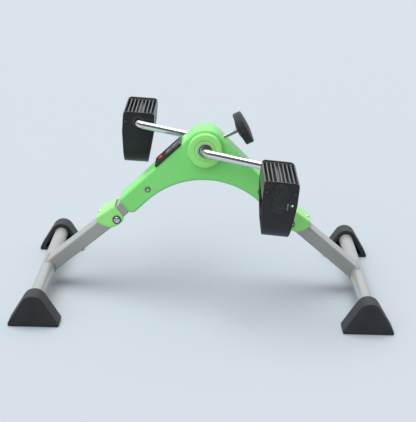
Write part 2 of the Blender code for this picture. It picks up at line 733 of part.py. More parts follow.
def build_strap(side, axis):
    """Foot strap with a tab on each end, its screws, and the cap over the spindle's end."""
    strap = piece(f"{side}_strap", strap_solid(), BLACK, axis)
    thin, wide = PEDAL_SCREW_R + RUNNING, PEDAL_HEAD_R + RUNNING
    number = 0
    for face, outward in ((CORE_OUT + GAP, -1), (CORE_IN - GAP, 1)):
        for x in (-PEDAL_SCREW_X, PEDAL_SCREW_X):
            number += 1
            step = turned([(0.0, -OVERRUN), (thin, -OVERRUN), (thin, PEDAL_LEDGE),
                           (wide, PEDAL_LEDGE), (wide, OVERRUN), (0.0, OVERRUN)], SMALL_ROUND)
            cutter = shifted(along_y(step, outward), x, -face)
            apply_tool(strap, tool(f"{side}_strap_screw_hole_{number}", cutter, axis))
            bolt = along_y(screw(PEDAL_SCREW_R, PEDAL_SCREW_LENGTH, PEDAL_HEAD_R, PEDAL_HEAD), outward)
            bolt = shifted(bolt, x, -face + outward * (PEDAL_LEDGE + GAP))
            piece(f"{side}_pedal_screw_{number}", bolt, STEEL, axis)
    entry = along_y(disc(TAB_HOLE_R, PEDAL_INNER_Y - OVERRUN, PEDAL_INNER_Y + OVERRUN), -1)
    apply_tool(strap, tool(f"{side}_strap_entry", entry, axis))
    slit = box_outline(*SLIT, 0.0, (SLIT_X, SLIT_Z))
    slit = prism(slit, -STRAP_OUT - OVERRUN, -STRAP_OUT + OVERRUN)
    apply_tool(strap, tool(f"{side}_strap_slit", slit, axis))
    x, z, radius = PEG_HOLE
    peg = along_y(disc(radius, STRAP_OUT - OVERRUN, STRAP_OUT + OVERRUN, SMALL_ROUND), -1)
    apply_tool(strap, tool(f"{side}_strap_peg_hole", shifted(peg, x, 0.0, z), axis))
    drop = math.acos(TONGUE_HALF / END_CAP_R)
    outline = arc((0.0, 0.0), END_CAP_R, -drop, math.pi + drop)
    outline += arc((0.0, -TONGUE_DROP + TONGUE_HALF), TONGUE_HALF, math.pi, 2 * math.pi, CORNER_STEP)
    cap = prism(outline, -PEDAL_OUTER_Y, -PEDAL_OUTER_Y + END_CAP_THICK)
    piece(f"{side}_pedal_cap", cap, BLACK, axis)


# ---------------------------------------------------------------- tension control

def build_tension(screw_axis, shoe_axis):
    """Shoe on the drum, guide block, screw and knob; Z points outward from the axle."""
    spread = (math.pi / 2 - SHOE_SPREAD, math.pi / 2 + SHOE_SPREAD)
    shoe = arc((0.0, 0.0), SHOE_OUT, *spread) + list(reversed(arc((0.0, 0.0), DRUM_R + GAP, *spread)))
    piece("brake_shoe", prism(shoe, -SHOE_HALF, SHOE_HALF), BLACK, shoe_axis)
    lean = math.pi / 2 - ARM_SLOPE - TENSION_ANGLE
    limit = DOME_R - SHELL_WALL - 2 * GAP
    top = [(x, (limit + x * math.sin(lean)) / math.cos(lean)) for x in (BLOCK_HALF_X, -BLOCK_HALF_X)]
    base = [(-BLOCK_HALF_X, BLOCK_IN), (BLOCK_HALF_X, BLOCK_IN)]
    block = piece("tension_block", prism(base + top, -BLOCK_HALF_Y, BLOCK_HALF_Y), BLACK, shoe_axis)
    hole = disc(TENSION_ROD_R + RUNNING, 0.0, 2 * DOME_R)
    apply_tool(block, tool("block_bore", hole, shoe_axis))
    socket = KNOB_LOW + KNOB_SOCKET
    rod = disc(TENSION_ROD_R, SHOE_OUT + GAP, socket - GAP)
    piece("tension_screw", rod, CHROME, screw_axis)
    low, high = KNOB_LOW + KNOB_HUB, KNOB_LOW + KNOB_HUB + KNOB_RIM
    profile = [(0.0, socket), (TENSION_ROD_R + GAP, socket), (TENSION_ROD_R + GAP, KNOB_LOW),
               (KNOB_HUB_R, KNOB_LOW), (KNOB_R * 0.78, low), (KNOB_R - KNOB_EDGE, low),
               (KNOB_R, low + KNOB_EDGE), (KNOB_R, high - KNOB_EDGE), (KNOB_R - KNOB_EDGE, high),
               (KNOB_R * 0.6, high + KNOB_CROWN * 0.6),
               (KNOB_R * 0.3, high + KNOB_CROWN * 0.9), (0.0, high + KNOB_CROWN)]
    piece("tension_knob", turned(profile, ROUND), BLACK, screw_axis)


# ---------------------------------------------------------------- meter

def build_meter(frame, button_axis):
    """Counter on the left slope: case, display, button, board, cell and the revolution switch."""
    base = -METER_SUNK + GAP
    top = base + METER_PLATE
    plate = prism(box_outline(METER_LENGTH, METER_WIDTH, METER_CORNER), base, top, at_z)
    case = piece("meter_case", plate, BLACK, frame)
    box = prism(box_outline(METER_BOX_LENGTH, METER_BOX_WIDTH), -METER_BOX_DEPTH, top - METER_ROOF, at_z)
    apply_tool(case, tool("meter_box", box, frame), "UNION")
    inner = box_outline(METER_BOX_LENGTH - 2 * METER_WALL, METER_BOX_WIDTH - 2 * METER_WALL)
    hollow = prism(inner, -2 * METER_BOX_DEPTH, top - METER_ROOF, at_z)
    apply_tool(case, tool("meter_hollow", hollow, frame))
    opening = box_outline(LENS_LENGTH + 2 * GAP, LENS_WIDTH + 2 * GAP, 0.0, (LENS_X, 0.0))
    apply_tool(case, tool("lens_window", prism(opening, -METER_ROOF, 2 * top, at_z), frame))
    slot = box_outline(2 * (METER_BUTTON_HALF + GAP), 2 * (METER_BUTTON_LONG + GAP),
                       METER_BUTTON_HALF, (METER_BUTTON_X, 0.0))
    apply_tool(case, tool("button_slot", prism(slot, -METER_ROOF, 2 * top, at_z), frame))
    board_top = -BOARD_DROP + BOARD_THICK
    lens = box_outline(LENS_LENGTH, LENS_WIDTH, 0.0, (LENS_X, 0.0))
    piece("meter_lens", prism(lens, board_top + GAP, top - LENS_SUNK, at_z), DISPLAY, frame)
    room = METER_WALL + 2 * GAP
    board = box_outline(METER_BOX_LENGTH - 2 * room, METER_BOX_WIDTH - 2 * room)
    piece("meter_board", prism(board, -BOARD_DROP, board_top, at_z), BOARD, frame)
    cell = disc(BATTERY_R, -BOARD_DROP - GAP - BATTERY_THICK, -BOARD_DROP - GAP)
    piece("meter_cell", cell, STEEL, frame)
    low = board_top + GAP + METER_BUTTON_TRAVEL
    wide, long = METER_BUTTON_HALF + METER_BUTTON_FLANGE, METER_BUTTON_LONG + METER_BUTTON_FLANGE
    foot = box_outline(2 * wide, 2 * long, METER_BUTTON_HALF)
    head = box_outline(2 * METER_BUTTON_HALF, 2 * METER_BUTTON_LONG, METER_BUTTON_HALF * 0.99)
    foot = prism(foot, low, low + METER_BUTTON_FLANGE, at_z)
    button = piece("meter_button", foot, RED, button_axis)
    stem = prism(head, low + METER_BUTTON_FLANGE / 2, top + METER_BUTTON_PROUD, at_z)
    apply_tool(button, tool("button_stem", stem, button_axis), "UNION")
    long_x, deep_y, tall_z = REED_SIZE
    outline = box_outline(long_x, tall_z, 0.0, (REED_X, CRANK_HEIGHT))
    wall = -SHELL_HALF + SHELL_WALL + GAP
    piece("reed_switch", prism(outline, wall, wall + deep_y), BLACK)


# ---------------------------------------------------------------- legs

def build_cap(side, line, front):
    """Hinge cap: two leaf-shaped cheeks and a roof over the tube ends, with the hinge bolt and nut."""
    corners = [(-CAP_BACK, CAP_HINGE_TOP, EDGE_R), (-CAP_BACK - CAP_HEEL, -CAP_LOW, CAP_HEEL_R),
               (CAP_KEEL_X, -CAP_LOW, CAP_KEEL_R), (CAP_REACH, CAP_FOOT_TOP, CAP_NOSE_R)]
    outline = rounded(corners)
    half = CAP_WIDTH / 2
    levels = edge_levels(half)
    rings = [at_y(inset(outline, inward), -depth) for inward, depth in levels]
    rings += [at_y(inset(outline, inward), depth) for inward, depth in reversed(levels)]
    cap = piece(f"{side}_hinge_cap", loft(rings), LIME, line)
    roof = LEG_TOP + GAP
    chamber = [(-BEYOND, -BEYOND), (BEYOND, -BEYOND), (BEYOND, roof), (CAP_STEP, roof),
               (CAP_STEP, CAP_CHAMBER), (-BEYOND, CAP_CHAMBER)]
    inner = STOCK_WIDTH / 2 + GAP
    apply_tool(cap, tool(f"{side}_cap_chamber", prism(chamber, -inner, inner), line))
    hole = cross_hole(BOLT_R + RUNNING, 0.0, 0.0, segments=ROUND)
    apply_tool(cap, tool(f"{side}_cap_bolt_hole", hole, line))
    hole = shifted(disc(BUTTON_R + RUNNING, LEG_RISE, BEYOND), BUTTON_X)
    apply_tool(cap, tool(f"{side}_cap_button_hole", hole, line))
    face = half + GAP
    bolt = along_y(screw(BOLT_R, CAP_WIDTH + 2 * GAP + BOLT_NUT, BOLT_HEAD_R, BOLT_HEAD), front)
    piece(f"{side}_hinge_bolt", shifted(bolt, y=front * face), CHROME, line)
    bore = (BOLT_R + RUNNING) / math.cos(math.pi / 6)
    nut = along_y(pipe(BOLT_NUT_R, bore, face, face + BOLT_NUT, 6), -front)
    piece(f"{side}_hinge_nut", nut, STEEL, line)


def build_leg_tube(side, line):
    """Leg tube, coped to sit round the floor tube, with the snap button's hole."""
    tube = sleeve(stock_outline(0.0, LEG_RISE), stock_outline(STOCK_WALL, LEG_RISE),
                  LEG_START, LEG_LENGTH, at_x)
    leg = piece(f"{side}_leg_tube", tube, SILVER, line)
    cope = cross_hole(CROSS_R + GAP, LEG_LENGTH, LEG_RISE, segments=ROUND)
    apply_tool(leg, tool(f"{side}_leg_cope", cope, line))
    hole = shifted(disc(BUTTON_R + RUNNING, LEG_RISE, BEYOND), BUTTON_X)
    apply_tool(leg, tool(f"{side}_leg_button_hole", hole, line))


def build_lock(side, axis):
    """Snap button through the tube and the cap, on a coil spring."""
    low = LEG_TOP - STOCK_WALL - GAP - COLLAR
    along = (BUTTON_X + CAP_BACK) / (CAP_REACH + CAP_BACK)
    roof = CAP_HINGE_TOP + along * (CAP_FOOT_TOP - CAP_HINGE_TOP)
    top, edge = roof + BUTTON_PROUD, BUTTON_EDGE
    profile = [(0.0, low), (COLLAR_R, low), (COLLAR_R, low + COLLAR), (BUTTON_R, low + COLLAR),
               (BUTTON_R, top - edge), (BUTTON_R - edge, top), (0.0, top)]
    piece(f"{side}_lock_button", turned(profile, SMALL_ROUND), CHROME, axis)
    return low


def build_lock_spring(side, line, collar_low):
    """Coil spring at its pressed length, on the tube's floor."""
    low = LEG_RISE - STOCK_HEIGHT / 2 + STOCK_WALL + GAP + SPRING_WIRE
    high = collar_low - BUTTON_TRAVEL - GAP - SPRING_WIRE
    coils, steps = 4, 8
    path, normals = [], []
    for index in range(coils * steps + 1):
        turn = 2 * math.pi * index / steps
        normals.append((math.cos(turn), math.sin(turn), 0.0))
        height = low + (high - low) * index / (coils * steps)
        path.append((BUTTON_X + SPRING_R * math.cos(turn), SPRING_R * math.sin(turn), height))
    piece(f"{side}_lock_spring", swept(path, normals, SPRING_WIRE, 5), STEEL, line)


def build_cross_and_feet(side, hinge):
    """Floor tube with a rubber foot pushed on each end."""
    x, z = CROSS
    end = FOOT_FACE_Y - FOOT_END_WALL - GAP
    tube = along_y(pipe(CROSS_R, CROSS_R - CROSS_WALL, -end, end))
    piece(f"{side}_cross_tube", shifted(tube, x, 0.0, z), SILVER, hinge)
    floor, corner = z - CROSS_HEIGHT, FOOT_CORNER
    outer = hull_of_circles([(x, z, CROSS_R + GAP + FOOT_APEX_WALL),
                             (x - FOOT_INNER + corner, floor + corner, corner),
                             (x + FOOT_OUTER - corner, floor + corner, corner)])
    away, low = FOOT_CAVITY_IN + corner, floor + FOOT_SOLE + FOOT_CAVITY_R
    cavity = hull_of_circles([(x, z, CROSS_R + GAP), (x - FOOT_INNER + away, low, FOOT_CAVITY_R),
                              (x + FOOT_OUTER - away, low, FOOT_CAVITY_R)])
    mouth, inside = FOOT_FACE_Y - FOOT_DEPTH, FOOT_FACE_Y - FOOT_END_WALL
    for place, y in (("front", -1), ("rear", 1)):
        front = y if side == "right" else -y
        span = sorted((front * FOOT_FACE_Y, front * mouth))
        foot = piece(f"{side}_foot_{place}", prism(outer, *span), RUBBER, hinge)
        span = sorted((front * inside, front * (mouth - OVERRUN)))
        apply_tool(foot, tool(f"{side}_{place}_foot_cavity", prism(cavity, *span), hinge))
        height = (z - CROSS_R - GAP) - (floor + FOOT_SOLE / 2)
        web = box_outline(FOOT_WEB, height, 0.0, (x, floor + FOOT_SOLE / 2 + height / 2))
        span = sorted((front * (inside + FOOT_WEB_ROOT), front * (mouth + FOOT_WEB_BACK)))
        apply_tool(foot, tool(f"{side}_{place}_foot_web", prism(web, *span), hinge), "UNION")


# ---------------------------------------------------------------- assembly

def main():
    """Build every piece under the axis that it moves with."""
    clear_scene()
    arms, hinges = {}, {}
    for side, half_turn, _ in SIDES:
        x = PIVOT[0] if side == "right" else -PIVOT[0]
        arms[side] = empty(f"{side}_arm_frame", (x, 0, PIVOT[1]), (0, ARM_SLOPE, half_turn))
        hinges[side] = empty(f"{side}_hinge_axis", (x, 0, PIVOT[1]), (0, 0, half_turn))
    down = METER_FROM_DOME + METER_LENGTH / 2
    meter_place = (-DOME_END[0] - down * COS, 0, DOME_END[1] - down * SIN)
    meter_frame = empty("meter_frame", meter_place, (0, -ARM_SLOPE, 0))
    button_axis = empty("meter_button_axis", (METER_BUTTON_X, 0, 0), parent=meter_frame)
    hub = (0, 0, CRANK_HEIGHT)
    shoe_axis = empty("tension_axis", hub, (0, math.pi / 2 - TENSION_ANGLE, 0))
    screw_axis = empty("tension_screw_axis", parent=shoe_axis)
    build_shells(arms, meter_frame, shoe_axis)
    build_hub("front", -1, SHELL_HALF, HUB_PROUD)
    build_hub("rear", 1, REAR_BULGE, REAR_HUB_PROUD)
    build_meter(meter_frame, button_axis)
    build_tension(screw_axis, shoe_axis)

    crank_axis = empty("crank_axis", hub, (0, CRANK_DROP, 0))
    build_crank(crank_axis)
    for side, turn, tilt, half_turn in (("near", 1, NEAR_TILT, 0.0), ("far", -1, -FAR_TILT, math.pi)):
        place = (turn * CRANK_RADIUS * math.cos(CRANK_DROP), 0,
                 CRANK_HEIGHT - turn * CRANK_RADIUS * math.sin(CRANK_DROP))
        pedal_axis = empty(f"{side}_pedal_axis", place, (0, tilt, half_turn))
        build_tread(side, pedal_axis)
        build_strap(side, pedal_axis)

    for side, _, front in SIDES:
        build_neck(side, arms[side], front)
        line = empty(f"{side}_leg_line", rotation=(0, LEG_ANGLE, 0), parent=hinges[side])
        lock_axis = empty(f"{side}_lock_axis", (BUTTON_X, 0, 0), parent=line)
        build_cap(side, line, front)
        build_leg_tube(side, line)
        build_lock_spring(side, line, build_lock(side, lock_axis))
        build_cross_and_feet(side, hinges[side])


main()
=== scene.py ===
# %% [markdown]
# # A folding pedal exerciser
#
# The imported model already holds every solid piece in its right place. This script gives the pieces
# their looks: smoother surfaces where the imported ones show facets, and a finish for every
# material. We start by loading the model as a frame that never moves.

# %% Load the frame
import math

import bmesh
import bpy
import numpy as np
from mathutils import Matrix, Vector
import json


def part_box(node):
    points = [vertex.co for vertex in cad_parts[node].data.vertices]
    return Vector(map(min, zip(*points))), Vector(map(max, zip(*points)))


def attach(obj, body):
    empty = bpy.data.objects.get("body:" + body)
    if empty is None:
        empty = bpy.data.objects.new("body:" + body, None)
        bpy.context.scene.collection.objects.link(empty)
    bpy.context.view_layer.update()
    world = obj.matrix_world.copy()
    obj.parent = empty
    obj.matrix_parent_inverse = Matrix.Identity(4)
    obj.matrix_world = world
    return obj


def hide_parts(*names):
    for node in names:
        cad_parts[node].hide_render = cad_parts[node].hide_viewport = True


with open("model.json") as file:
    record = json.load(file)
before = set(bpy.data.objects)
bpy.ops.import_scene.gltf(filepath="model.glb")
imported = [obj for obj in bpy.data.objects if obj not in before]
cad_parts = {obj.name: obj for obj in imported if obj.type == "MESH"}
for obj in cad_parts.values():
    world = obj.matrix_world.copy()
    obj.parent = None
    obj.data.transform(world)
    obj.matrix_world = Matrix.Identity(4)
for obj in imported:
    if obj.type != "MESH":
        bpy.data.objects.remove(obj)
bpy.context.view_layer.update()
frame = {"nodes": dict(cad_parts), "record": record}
MM = 0.001
print("pieces in the frame:", len(frame["nodes"]))

# %% [markdown]
# ## Axes
#
# The joints of the record say where things turn, so new pieces take their places from them. A
# local frame is an origin and three unit axes; `placed` carries points from it into the world. The
# two sides of the exerciser are the same part turned half round, so the left frames are half
# turns.

# %% Local frames from the joints
joints = {joint["name"]: joint for joint in frame["record"]["behaviour"]["joints"]}


def unit(vector):
    """The vector divided by its own length."""
    vector = np.asarray(vector, dtype=float)
    return vector / np.linalg.norm(vector)


def local_frame(origin, z_axis, x_hint):
    """Origin and axes: Z as given, Y across Z and the hint, and X across Y and Z."""
    z_axis = unit(z_axis)
    y_axis = unit(np.cross(z_axis, x_hint))
    return np.asarray(origin, dtype=float), np.stack([np.cross(y_axis, z_axis), y_axis, z_axis])


def placed(points, where):
    """World point = origin + x times X axis + y times Y axis + z times Z axis."""
    origin, axes = where
    return origin + np.asarray(points, dtype=float) @ axes


ARM_SLOPE = math.radians(43.9)
HUB = np.array(joints["crank_spin"]["pos_m"])
UPRIGHT = local_frame(HUB * (1, 1, 0), (0, 0, 1), (1, 0, 0))
arm, leg = {}, {}
for side, way in (("right", 1), ("left", -1)):
    pivot = joints[f"{side}_leg_fold"]["pos_m"]
    down_arm = (way * math.cos(ARM_SLOPE), 0, -math.sin(ARM_SLOPE))
    arm[side] = local_frame(pivot, (way * math.sin(ARM_SLOPE), 0, math.cos(ARM_SLOPE)), down_arm)
    out_of_leg = -np.array(joints[f"{side}_lock_press"]["axis"])
    leg[side] = local_frame(pivot, out_of_leg, down_arm)
knob_frame = local_frame(HUB, joints["knob_turn"]["axis"], (0, 1, 0))
print("hub at", HUB, "right pivot at", arm["right"][0])

# %% [markdown]
# ## Camera
#
# The exerciser is seen from the front and a little above, through a long lens, so that its two
# ends keep almost the same size. The camera leans by about a degree, which the roll gives.

# %% Camera
EYE = Vector((0.0062, -1.8133, 0.654))
AIM = Vector((0.0062, 0.0, 0.119))
ROLL = 0.0239
camera = bpy.data.objects.new("camera", bpy.data.cameras.new("camera"))
bpy.context.collection.objects.link(camera)
camera.location = EYE
turn = (AIM - EYE).to_track_quat("-Z", "Y").to_matrix().to_4x4()
camera.rotation_euler = turn.to_euler()
camera.rotation_euler.rotate_axis("Z", ROLL)
camera.data.sensor_width = 36
camera.data.lens = 106.6
camera.data.dof.use_dof = False
bpy.context.scene.camera = camera
bpy.context.scene.view_settings.view_transform = "Standard"
print("camera elevation", round(math.degrees(math.atan2(EYE.z - AIM.z, AIM.y - EYE.y)), 2))

# %% [markdown]
# ## Shader arithmetic
#
# A finish is a small calculation made at every point of a surface. Nodes can hold it, but dozens
# of Math nodes are hard to read, so `Reading` wraps a socket and lets Python's own operators add
# the nodes. `Recipe` owns one material, and its `add` makes every other kind of node.

# %% Reading and Recipe
class Reading:
    """A number or colour that changes over a surface; arithmetic on it adds Math nodes."""

    def __init__(self, recipe, socket):
        self.recipe = recipe
        self.socket = socket

    def maths(self, operation, first, second):
        return self.recipe.add("ShaderNodeMath", {"operation": operation}, [first, second])

    def __add__(self, other):
        return self.maths("ADD", self, other)

    def __radd__(self, other):
        return self.maths("ADD", other, self)

    def __sub__(self, other):
        return self.maths("SUBTRACT", self, other)

    def __rsub__(self, other):
        return self.maths("SUBTRACT", other, self)

    def __mul__(self, other):
        return self.maths("MULTIPLY", self, other)

    def __rmul__(self, other):
        return self.maths("MULTIPLY", other, self)

    def __gt__(self, other):
        return self.maths("GREATER_THAN", self, other)


class Recipe:
    """The nodes of one finish. Constants go straight onto the shader's own sockets."""

    def __init__(self, name, colour, roughness, **constants):
        self.material = bpy.data.materials.new(name)
        self.material.use_nodes = True
        self.tree = self.material.node_tree
        self.shader = self.tree.nodes["Principled BSDF"]
        self.shader.inputs["Base Color"].default_value = (*colour, 1.0)
        self.shader.inputs["Roughness"].default_value = roughness
        for socket, value in constants.items():
            self.shader.inputs[socket.replace("_", " ")].default_value = value
        self.where = self.add("ShaderNodeTexCoord", output="Object")

    def add(self, kind, settings=(), values=(), output=0):
        """Add one node: settings are its properties, or a ramp's stops; values fill its sockets."""
        node = self.tree.nodes.new(kind)
        for key, value in dict(settings).items():
            if key == "stops":
                ramp = node.color_ramp.elements
                for element, (position, shade) in zip((ramp[0], ramp[1]), value):
                    element.position = position
                    element.color = (shade, shade, shade, 1.0)
            else:
                setattr(node, key, value)
        pairs = values.items() if isinstance(values, dict) else enumerate(values)
        for key, value in pairs:
            if isinstance(value, Reading):
                self.tree.links.new(value.socket, node.inputs[key])
            else:
                node.inputs[key].default_value = value
        return Reading(self, node.outputs[output])

    def noise(self, size, detail=3.0, stretch=(1.0, 1.0, 1.0), along=None):
        """Soft random patches about `size` metres wide, longer where stretch is under one."""
        place = self.add("ShaderNodeMapping", values={"Vector": along or self.where,
                                                      "Scale": stretch})
        return self.add("ShaderNodeTexNoise", values={"Vector": place, "Scale": 1 / size,
                                                      "Detail": detail})

    def spots(self, size):
        """Distance to the nearest of many scattered points about `size` metres apart."""
        return self.add("ShaderNodeTexVoronoi", values={"Vector": self.where, "Scale": 1 / size})

    def band(self, reading, low, high):
        """0 below low, 1 above high, and even between."""
        return self.add("ShaderNodeMapRange", values={"Value": reading, "From Min": low,
                                                      "From Max": high})

    def mixed(self, factor, first, second):
        """Colour first where the factor is 0, and second where it is 1."""
        pair = [tuple(shade) + (1.0,) if isinstance(shade, tuple) else shade
                for shade in (first, second)]
        sockets = {0: factor, 6: pair[0], 7: pair[1]}
        return self.add("ShaderNodeMix", {"data_type": "RGBA"}, sockets, 2)

    def feed(self, socket, reading):
        self.tree.links.new(reading.socket, self.shader.inputs[socket])
        return self

    def relief(self, height, depth):
        """Bump of the given depth in metres."""
        bump = self.add("ShaderNodeBump", values={"Strength": 1.0, "Distance": depth,
                                                  "Height": height})
        return self.feed("Normal", bump)


print("shader helpers ready")

# %% [markdown]
# ## Moulded plastic
#
# The housing is injection moulded in a clear green. A mould leaves a fine even grain, the colour
# drifts a little where the melt flowed, and handling leaves faint dull scuffs. Three noises of
# very different sizes give these: centimetres for the drift, a millimetre for scuffs, and a fifth
# of a millimetre for the grain. A single flat colour would look like a computer picture of
# plastic.

# %% Plastic finishes
def moulded(name, colour, drift, roughness, grain=0.2 * MM, depth=0.012 * MM, scuffs=0.12,
            **constants):
    """Base colour drifts towards a second one; scuffs add roughness; grain is a fine bump."""
    recipe = Recipe(name, colour, roughness, **constants)
    flow = recipe.band(recipe.noise(45 * MM, 2.0), 0.35, 0.65)
    scuff = recipe.band(recipe.noise(2.5 * MM, 5.0, (1.0, 0.25, 1.0)), 0.56, 0.72)
    worn = tuple(shade + (0.6 - shade) * 0.10 for shade in colour)
    recipe.feed("Base Color", recipe.mixed(scuff, recipe.mixed(flow, colour, drift), worn))
    patches = recipe.noise(9 * MM, 4.0)
    recipe.feed("Roughness", roughness - 0.04 + patches * 0.08 + scuff * scuffs)
    recipe.relief(recipe.noise(grain, 2.0) + recipe.noise(grain * 6, 2.0) * 0.5, depth)
    return recipe.material


shell_green = moulded("shell_green", (0.180, 0.66, 0.150), (0.205, 0.69, 0.170), 0.34,
                      Coat_Weight=0.15)
cap_lime = moulded("cap_lime", (0.28, 0.74, 0.18), (0.31, 0.77, 0.21), 0.36, Coat_Weight=0.12)
pedal_black = moulded("pedal_black", (0.010, 0.011, 0.012), (0.014, 0.015, 0.016), 0.40,
                      grain=0.45 * MM, depth=0.03 * MM)
knob_black = moulded("knob_black", (0.012, 0.012, 0.013), (0.018, 0.018, 0.019), 0.48,
                     grain=0.5 * MM, depth=0.04 * MM)
tread_black = moulded("tread_black", (0.060, 0.060, 0.061), (0.090, 0.090, 0.091), 0.38)
meter_black = moulded("meter_black", (0.014, 0.014, 0.016), (0.020, 0.020, 0.022), 0.38,
                      grain=0.3 * MM, depth=0.015 * MM)
button_red = moulded("button_red", (0.72, 0.018, 0.016), (0.80, 0.03, 0.025), 0.32)
inner_black = moulded("inner_black", (0.018, 0.018, 0.019), (0.026, 0.026, 0.027), 0.55)
print("plastics:", len(bpy.data.materials))

# %% [markdown]
# ## Rubber and the foot strap
#
# Rubber feet are duller than plastic, with a mottled bloom where they are touched. The straps are
# a soft flexible plastic, a shade greyer, with a fine leather-like grain, so they get cell-shaped
# bumps.

# %% Rubber and strap finishes
def rubbery(name, colour, drift, roughness, grain, depth):
    """Two noises for bloom and a cell pattern for the grain."""
    recipe = Recipe(name, colour, roughness, Specular_IOR_Level=0.35)
    bloom = recipe.band(recipe.noise(14 * MM, 5.0), 0.38, 0.70)
    recipe.feed("Base Color", recipe.mixed(bloom, colour, drift))
    recipe.feed("Roughness", roughness - 0.06 + bloom * 0.12)
    recipe.relief(recipe.spots(grain) + recipe.noise(grain * 0.5, 2.0) * 0.4, depth)
    return recipe.material


foot_rubber = rubbery("foot_rubber", (0.020, 0.020, 0.023), (0.030, 0.030, 0.033), 0.60, 0.8 * MM,
                      0.04 * MM)
strap_vinyl = rubbery("strap_vinyl", (0.015, 0.015, 0.018), (0.020, 0.020, 0.023), 0.42, 1.1 * MM,
                      0.03 * MM)
print("foot rubber and strap vinyl made")

# %% [markdown]
# ## Painted, plated and bright metal
#
# The legs wear a silver paint with metal flakes: tiny bright and dark cells, half as metallic as
# bare metal. The crank is polished chrome, where only faint wiping marks dull the mirror. Screws,
# nuts and bearings are zinc plated, which is cloudier. Bare reflections do most of the work in all
# three.

# %% Metal finishes
def metal(name, colour, drift, roughness, flake, swing, depth, **constants):
    """Flakes swing the colour and lift the surface; broad clouds swing the roughness."""
    recipe = Recipe(name, colour, roughness, **constants)
    cells = recipe.noise(flake, 2.0)
    recipe.feed("Base Color", recipe.mixed(recipe.band(cells, 0.35, 0.65), colour, drift))
    clouds = recipe.noise(18 * MM, 4.0)
    wiping = recipe.band(recipe.noise(1.2 * MM, 3.0, (0.08, 1.0, 1.0)), 0.55, 0.75)
    recipe.feed("Roughness", roughness - swing * 0.5 + clouds * swing + wiping * swing * 0.5)
    recipe.relief(cells, depth)
    return recipe.material


silver_paint = metal("silver_paint", (0.31, 0.31, 0.30), (0.37, 0.37, 0.36), 0.34, 0.35 * MM, 0.10,
                     0.006 * MM, Metallic=0.25, Coat_Weight=0.35, Coat_Roughness=0.2)
rod_chrome = metal("rod_chrome", (0.78, 0.78, 0.79), (0.82, 0.82, 0.83), 0.10, 4 * MM, 0.05,
                   0.002 * MM, Metallic=1.0)
zinc_plate = metal("zinc_plate", (0.60, 0.60, 0.61), (0.70, 0.70, 0.72), 0.30, 0.9 * MM, 0.14,
                   0.006 * MM, Metallic=1.0)
weld_grey = metal("weld_grey", (0.27, 0.27, 0.26), (0.36, 0.36, 0.35), 0.46, 0.6 * MM, 0.12,
                  0.02 * MM, Metallic=0.5)
dark_steel = metal("dark_steel", (0.07, 0.07, 0.075), (0.12, 0.12, 0.125), 0.34, 0.6 * MM, 0.12,
                   0.006 * MM, Metallic=0.9)
print("metals:", silver_paint.name, rod_chrome.name, zinc_plate.name)

# %% [markdown]
# ## Display and circuit board
#
# The display is a grey-green cell behind a polished window, and its digits are thin dark bars. The
# circuit board inside has copper tracks under green resist: a brick pattern stands for the tracks.

# %% Display, digit and board finishes
glass_recipe = Recipe("display_grey", (0.30, 0.34, 0.29), 0.12, Coat_Weight=0.6,
                      Coat_Roughness=0.04)
cell_tint = glass_recipe.band(glass_recipe.noise(8 * MM, 2.0), 0.3, 0.7)
glass_recipe.feed("Base Color", glass_recipe.mixed(cell_tint, (0.29, 0.33, 0.28),
                                                   (0.33, 0.37, 0.31)))
glass_recipe.feed("Roughness", 0.10 + glass_recipe.noise(3 * MM, 4.0) * 0.06)
glass_recipe.relief(glass_recipe.noise(2 * MM, 2.0), 0.002 * MM)
display_grey = glass_recipe.material
digit_ink = moulded("digit_ink", (0.012, 0.014, 0.012), (0.020, 0.022, 0.018), 0.30)
board_recipe = Recipe("board_green", (0.02, 0.16, 0.06), 0.40, Coat_Weight=0.3)
tracks = board_recipe.add("ShaderNodeTexBrick", {}, {"Vector": board_recipe.where,
                                                     "Scale": 1 / (6 * MM),
                                                     "Mortar Size": 0.03}, 1)
board_recipe.feed("Base Color", board_recipe.mixed(tracks, (0.02, 0.16, 0.06), (0.05, 0.30, 0.10)))
board_recipe.relief(tracks, 0.03 * MM)
board_green = board_recipe.material
print("finishes in all:", len(bpy.data.materials))

# %% [markdown]
# ## Surfaces from numbers
#
# Every new piece is a grid of points: rows follow the piece along, and columns go round it. `skin`
# turns such a grid into a mesh, with its ends capped or joined. `carve` cuts openings with
# Booleans and applies them, so that nothing is left live. Sharp edges are found by their angle.

# %% Mesh helpers
def skin(name, grid, joined=False):
    """Mesh object of a (rows, columns, 3) grid; columns close, rows are capped or joined."""
    rows, columns = grid.shape[:2]
    low = np.arange(rows if joined else rows - 1)[:, None] * columns
    high = (low + columns) % (rows * columns)
    here = np.arange(columns)[None, :]
    after = (here + 1) % columns
    faces = np.stack([low + here, low + after, high + after, high + here], axis=-1)
    faces = faces.reshape(-1, 4).tolist()
    if not joined:
        faces += [list(range(columns))[::-1], list(range((rows - 1) * columns, rows * columns))]
    mesh = bpy.data.meshes.new(name)
    mesh.from_pydata(grid.reshape(-1, 3), [], faces)
    item = bpy.data.objects.new(name, mesh)
    bpy.context.collection.objects.link(item)
    tidy_mesh(mesh)
    return item


def tidy_mesh(mesh):
    """Merge doubled points, as at a pole, and point every face outwards."""
    work = bmesh.new()
    work.from_mesh(mesh)
    bmesh.ops.remove_doubles(work, verts=work.verts[:], dist=1e-6)
    bmesh.ops.dissolve_degenerate(work, edges=work.edges[:], dist=1e-7)
    bmesh.ops.recalc_face_normals(work, faces=work.faces[:])
    work.to_mesh(mesh)
    work.free()


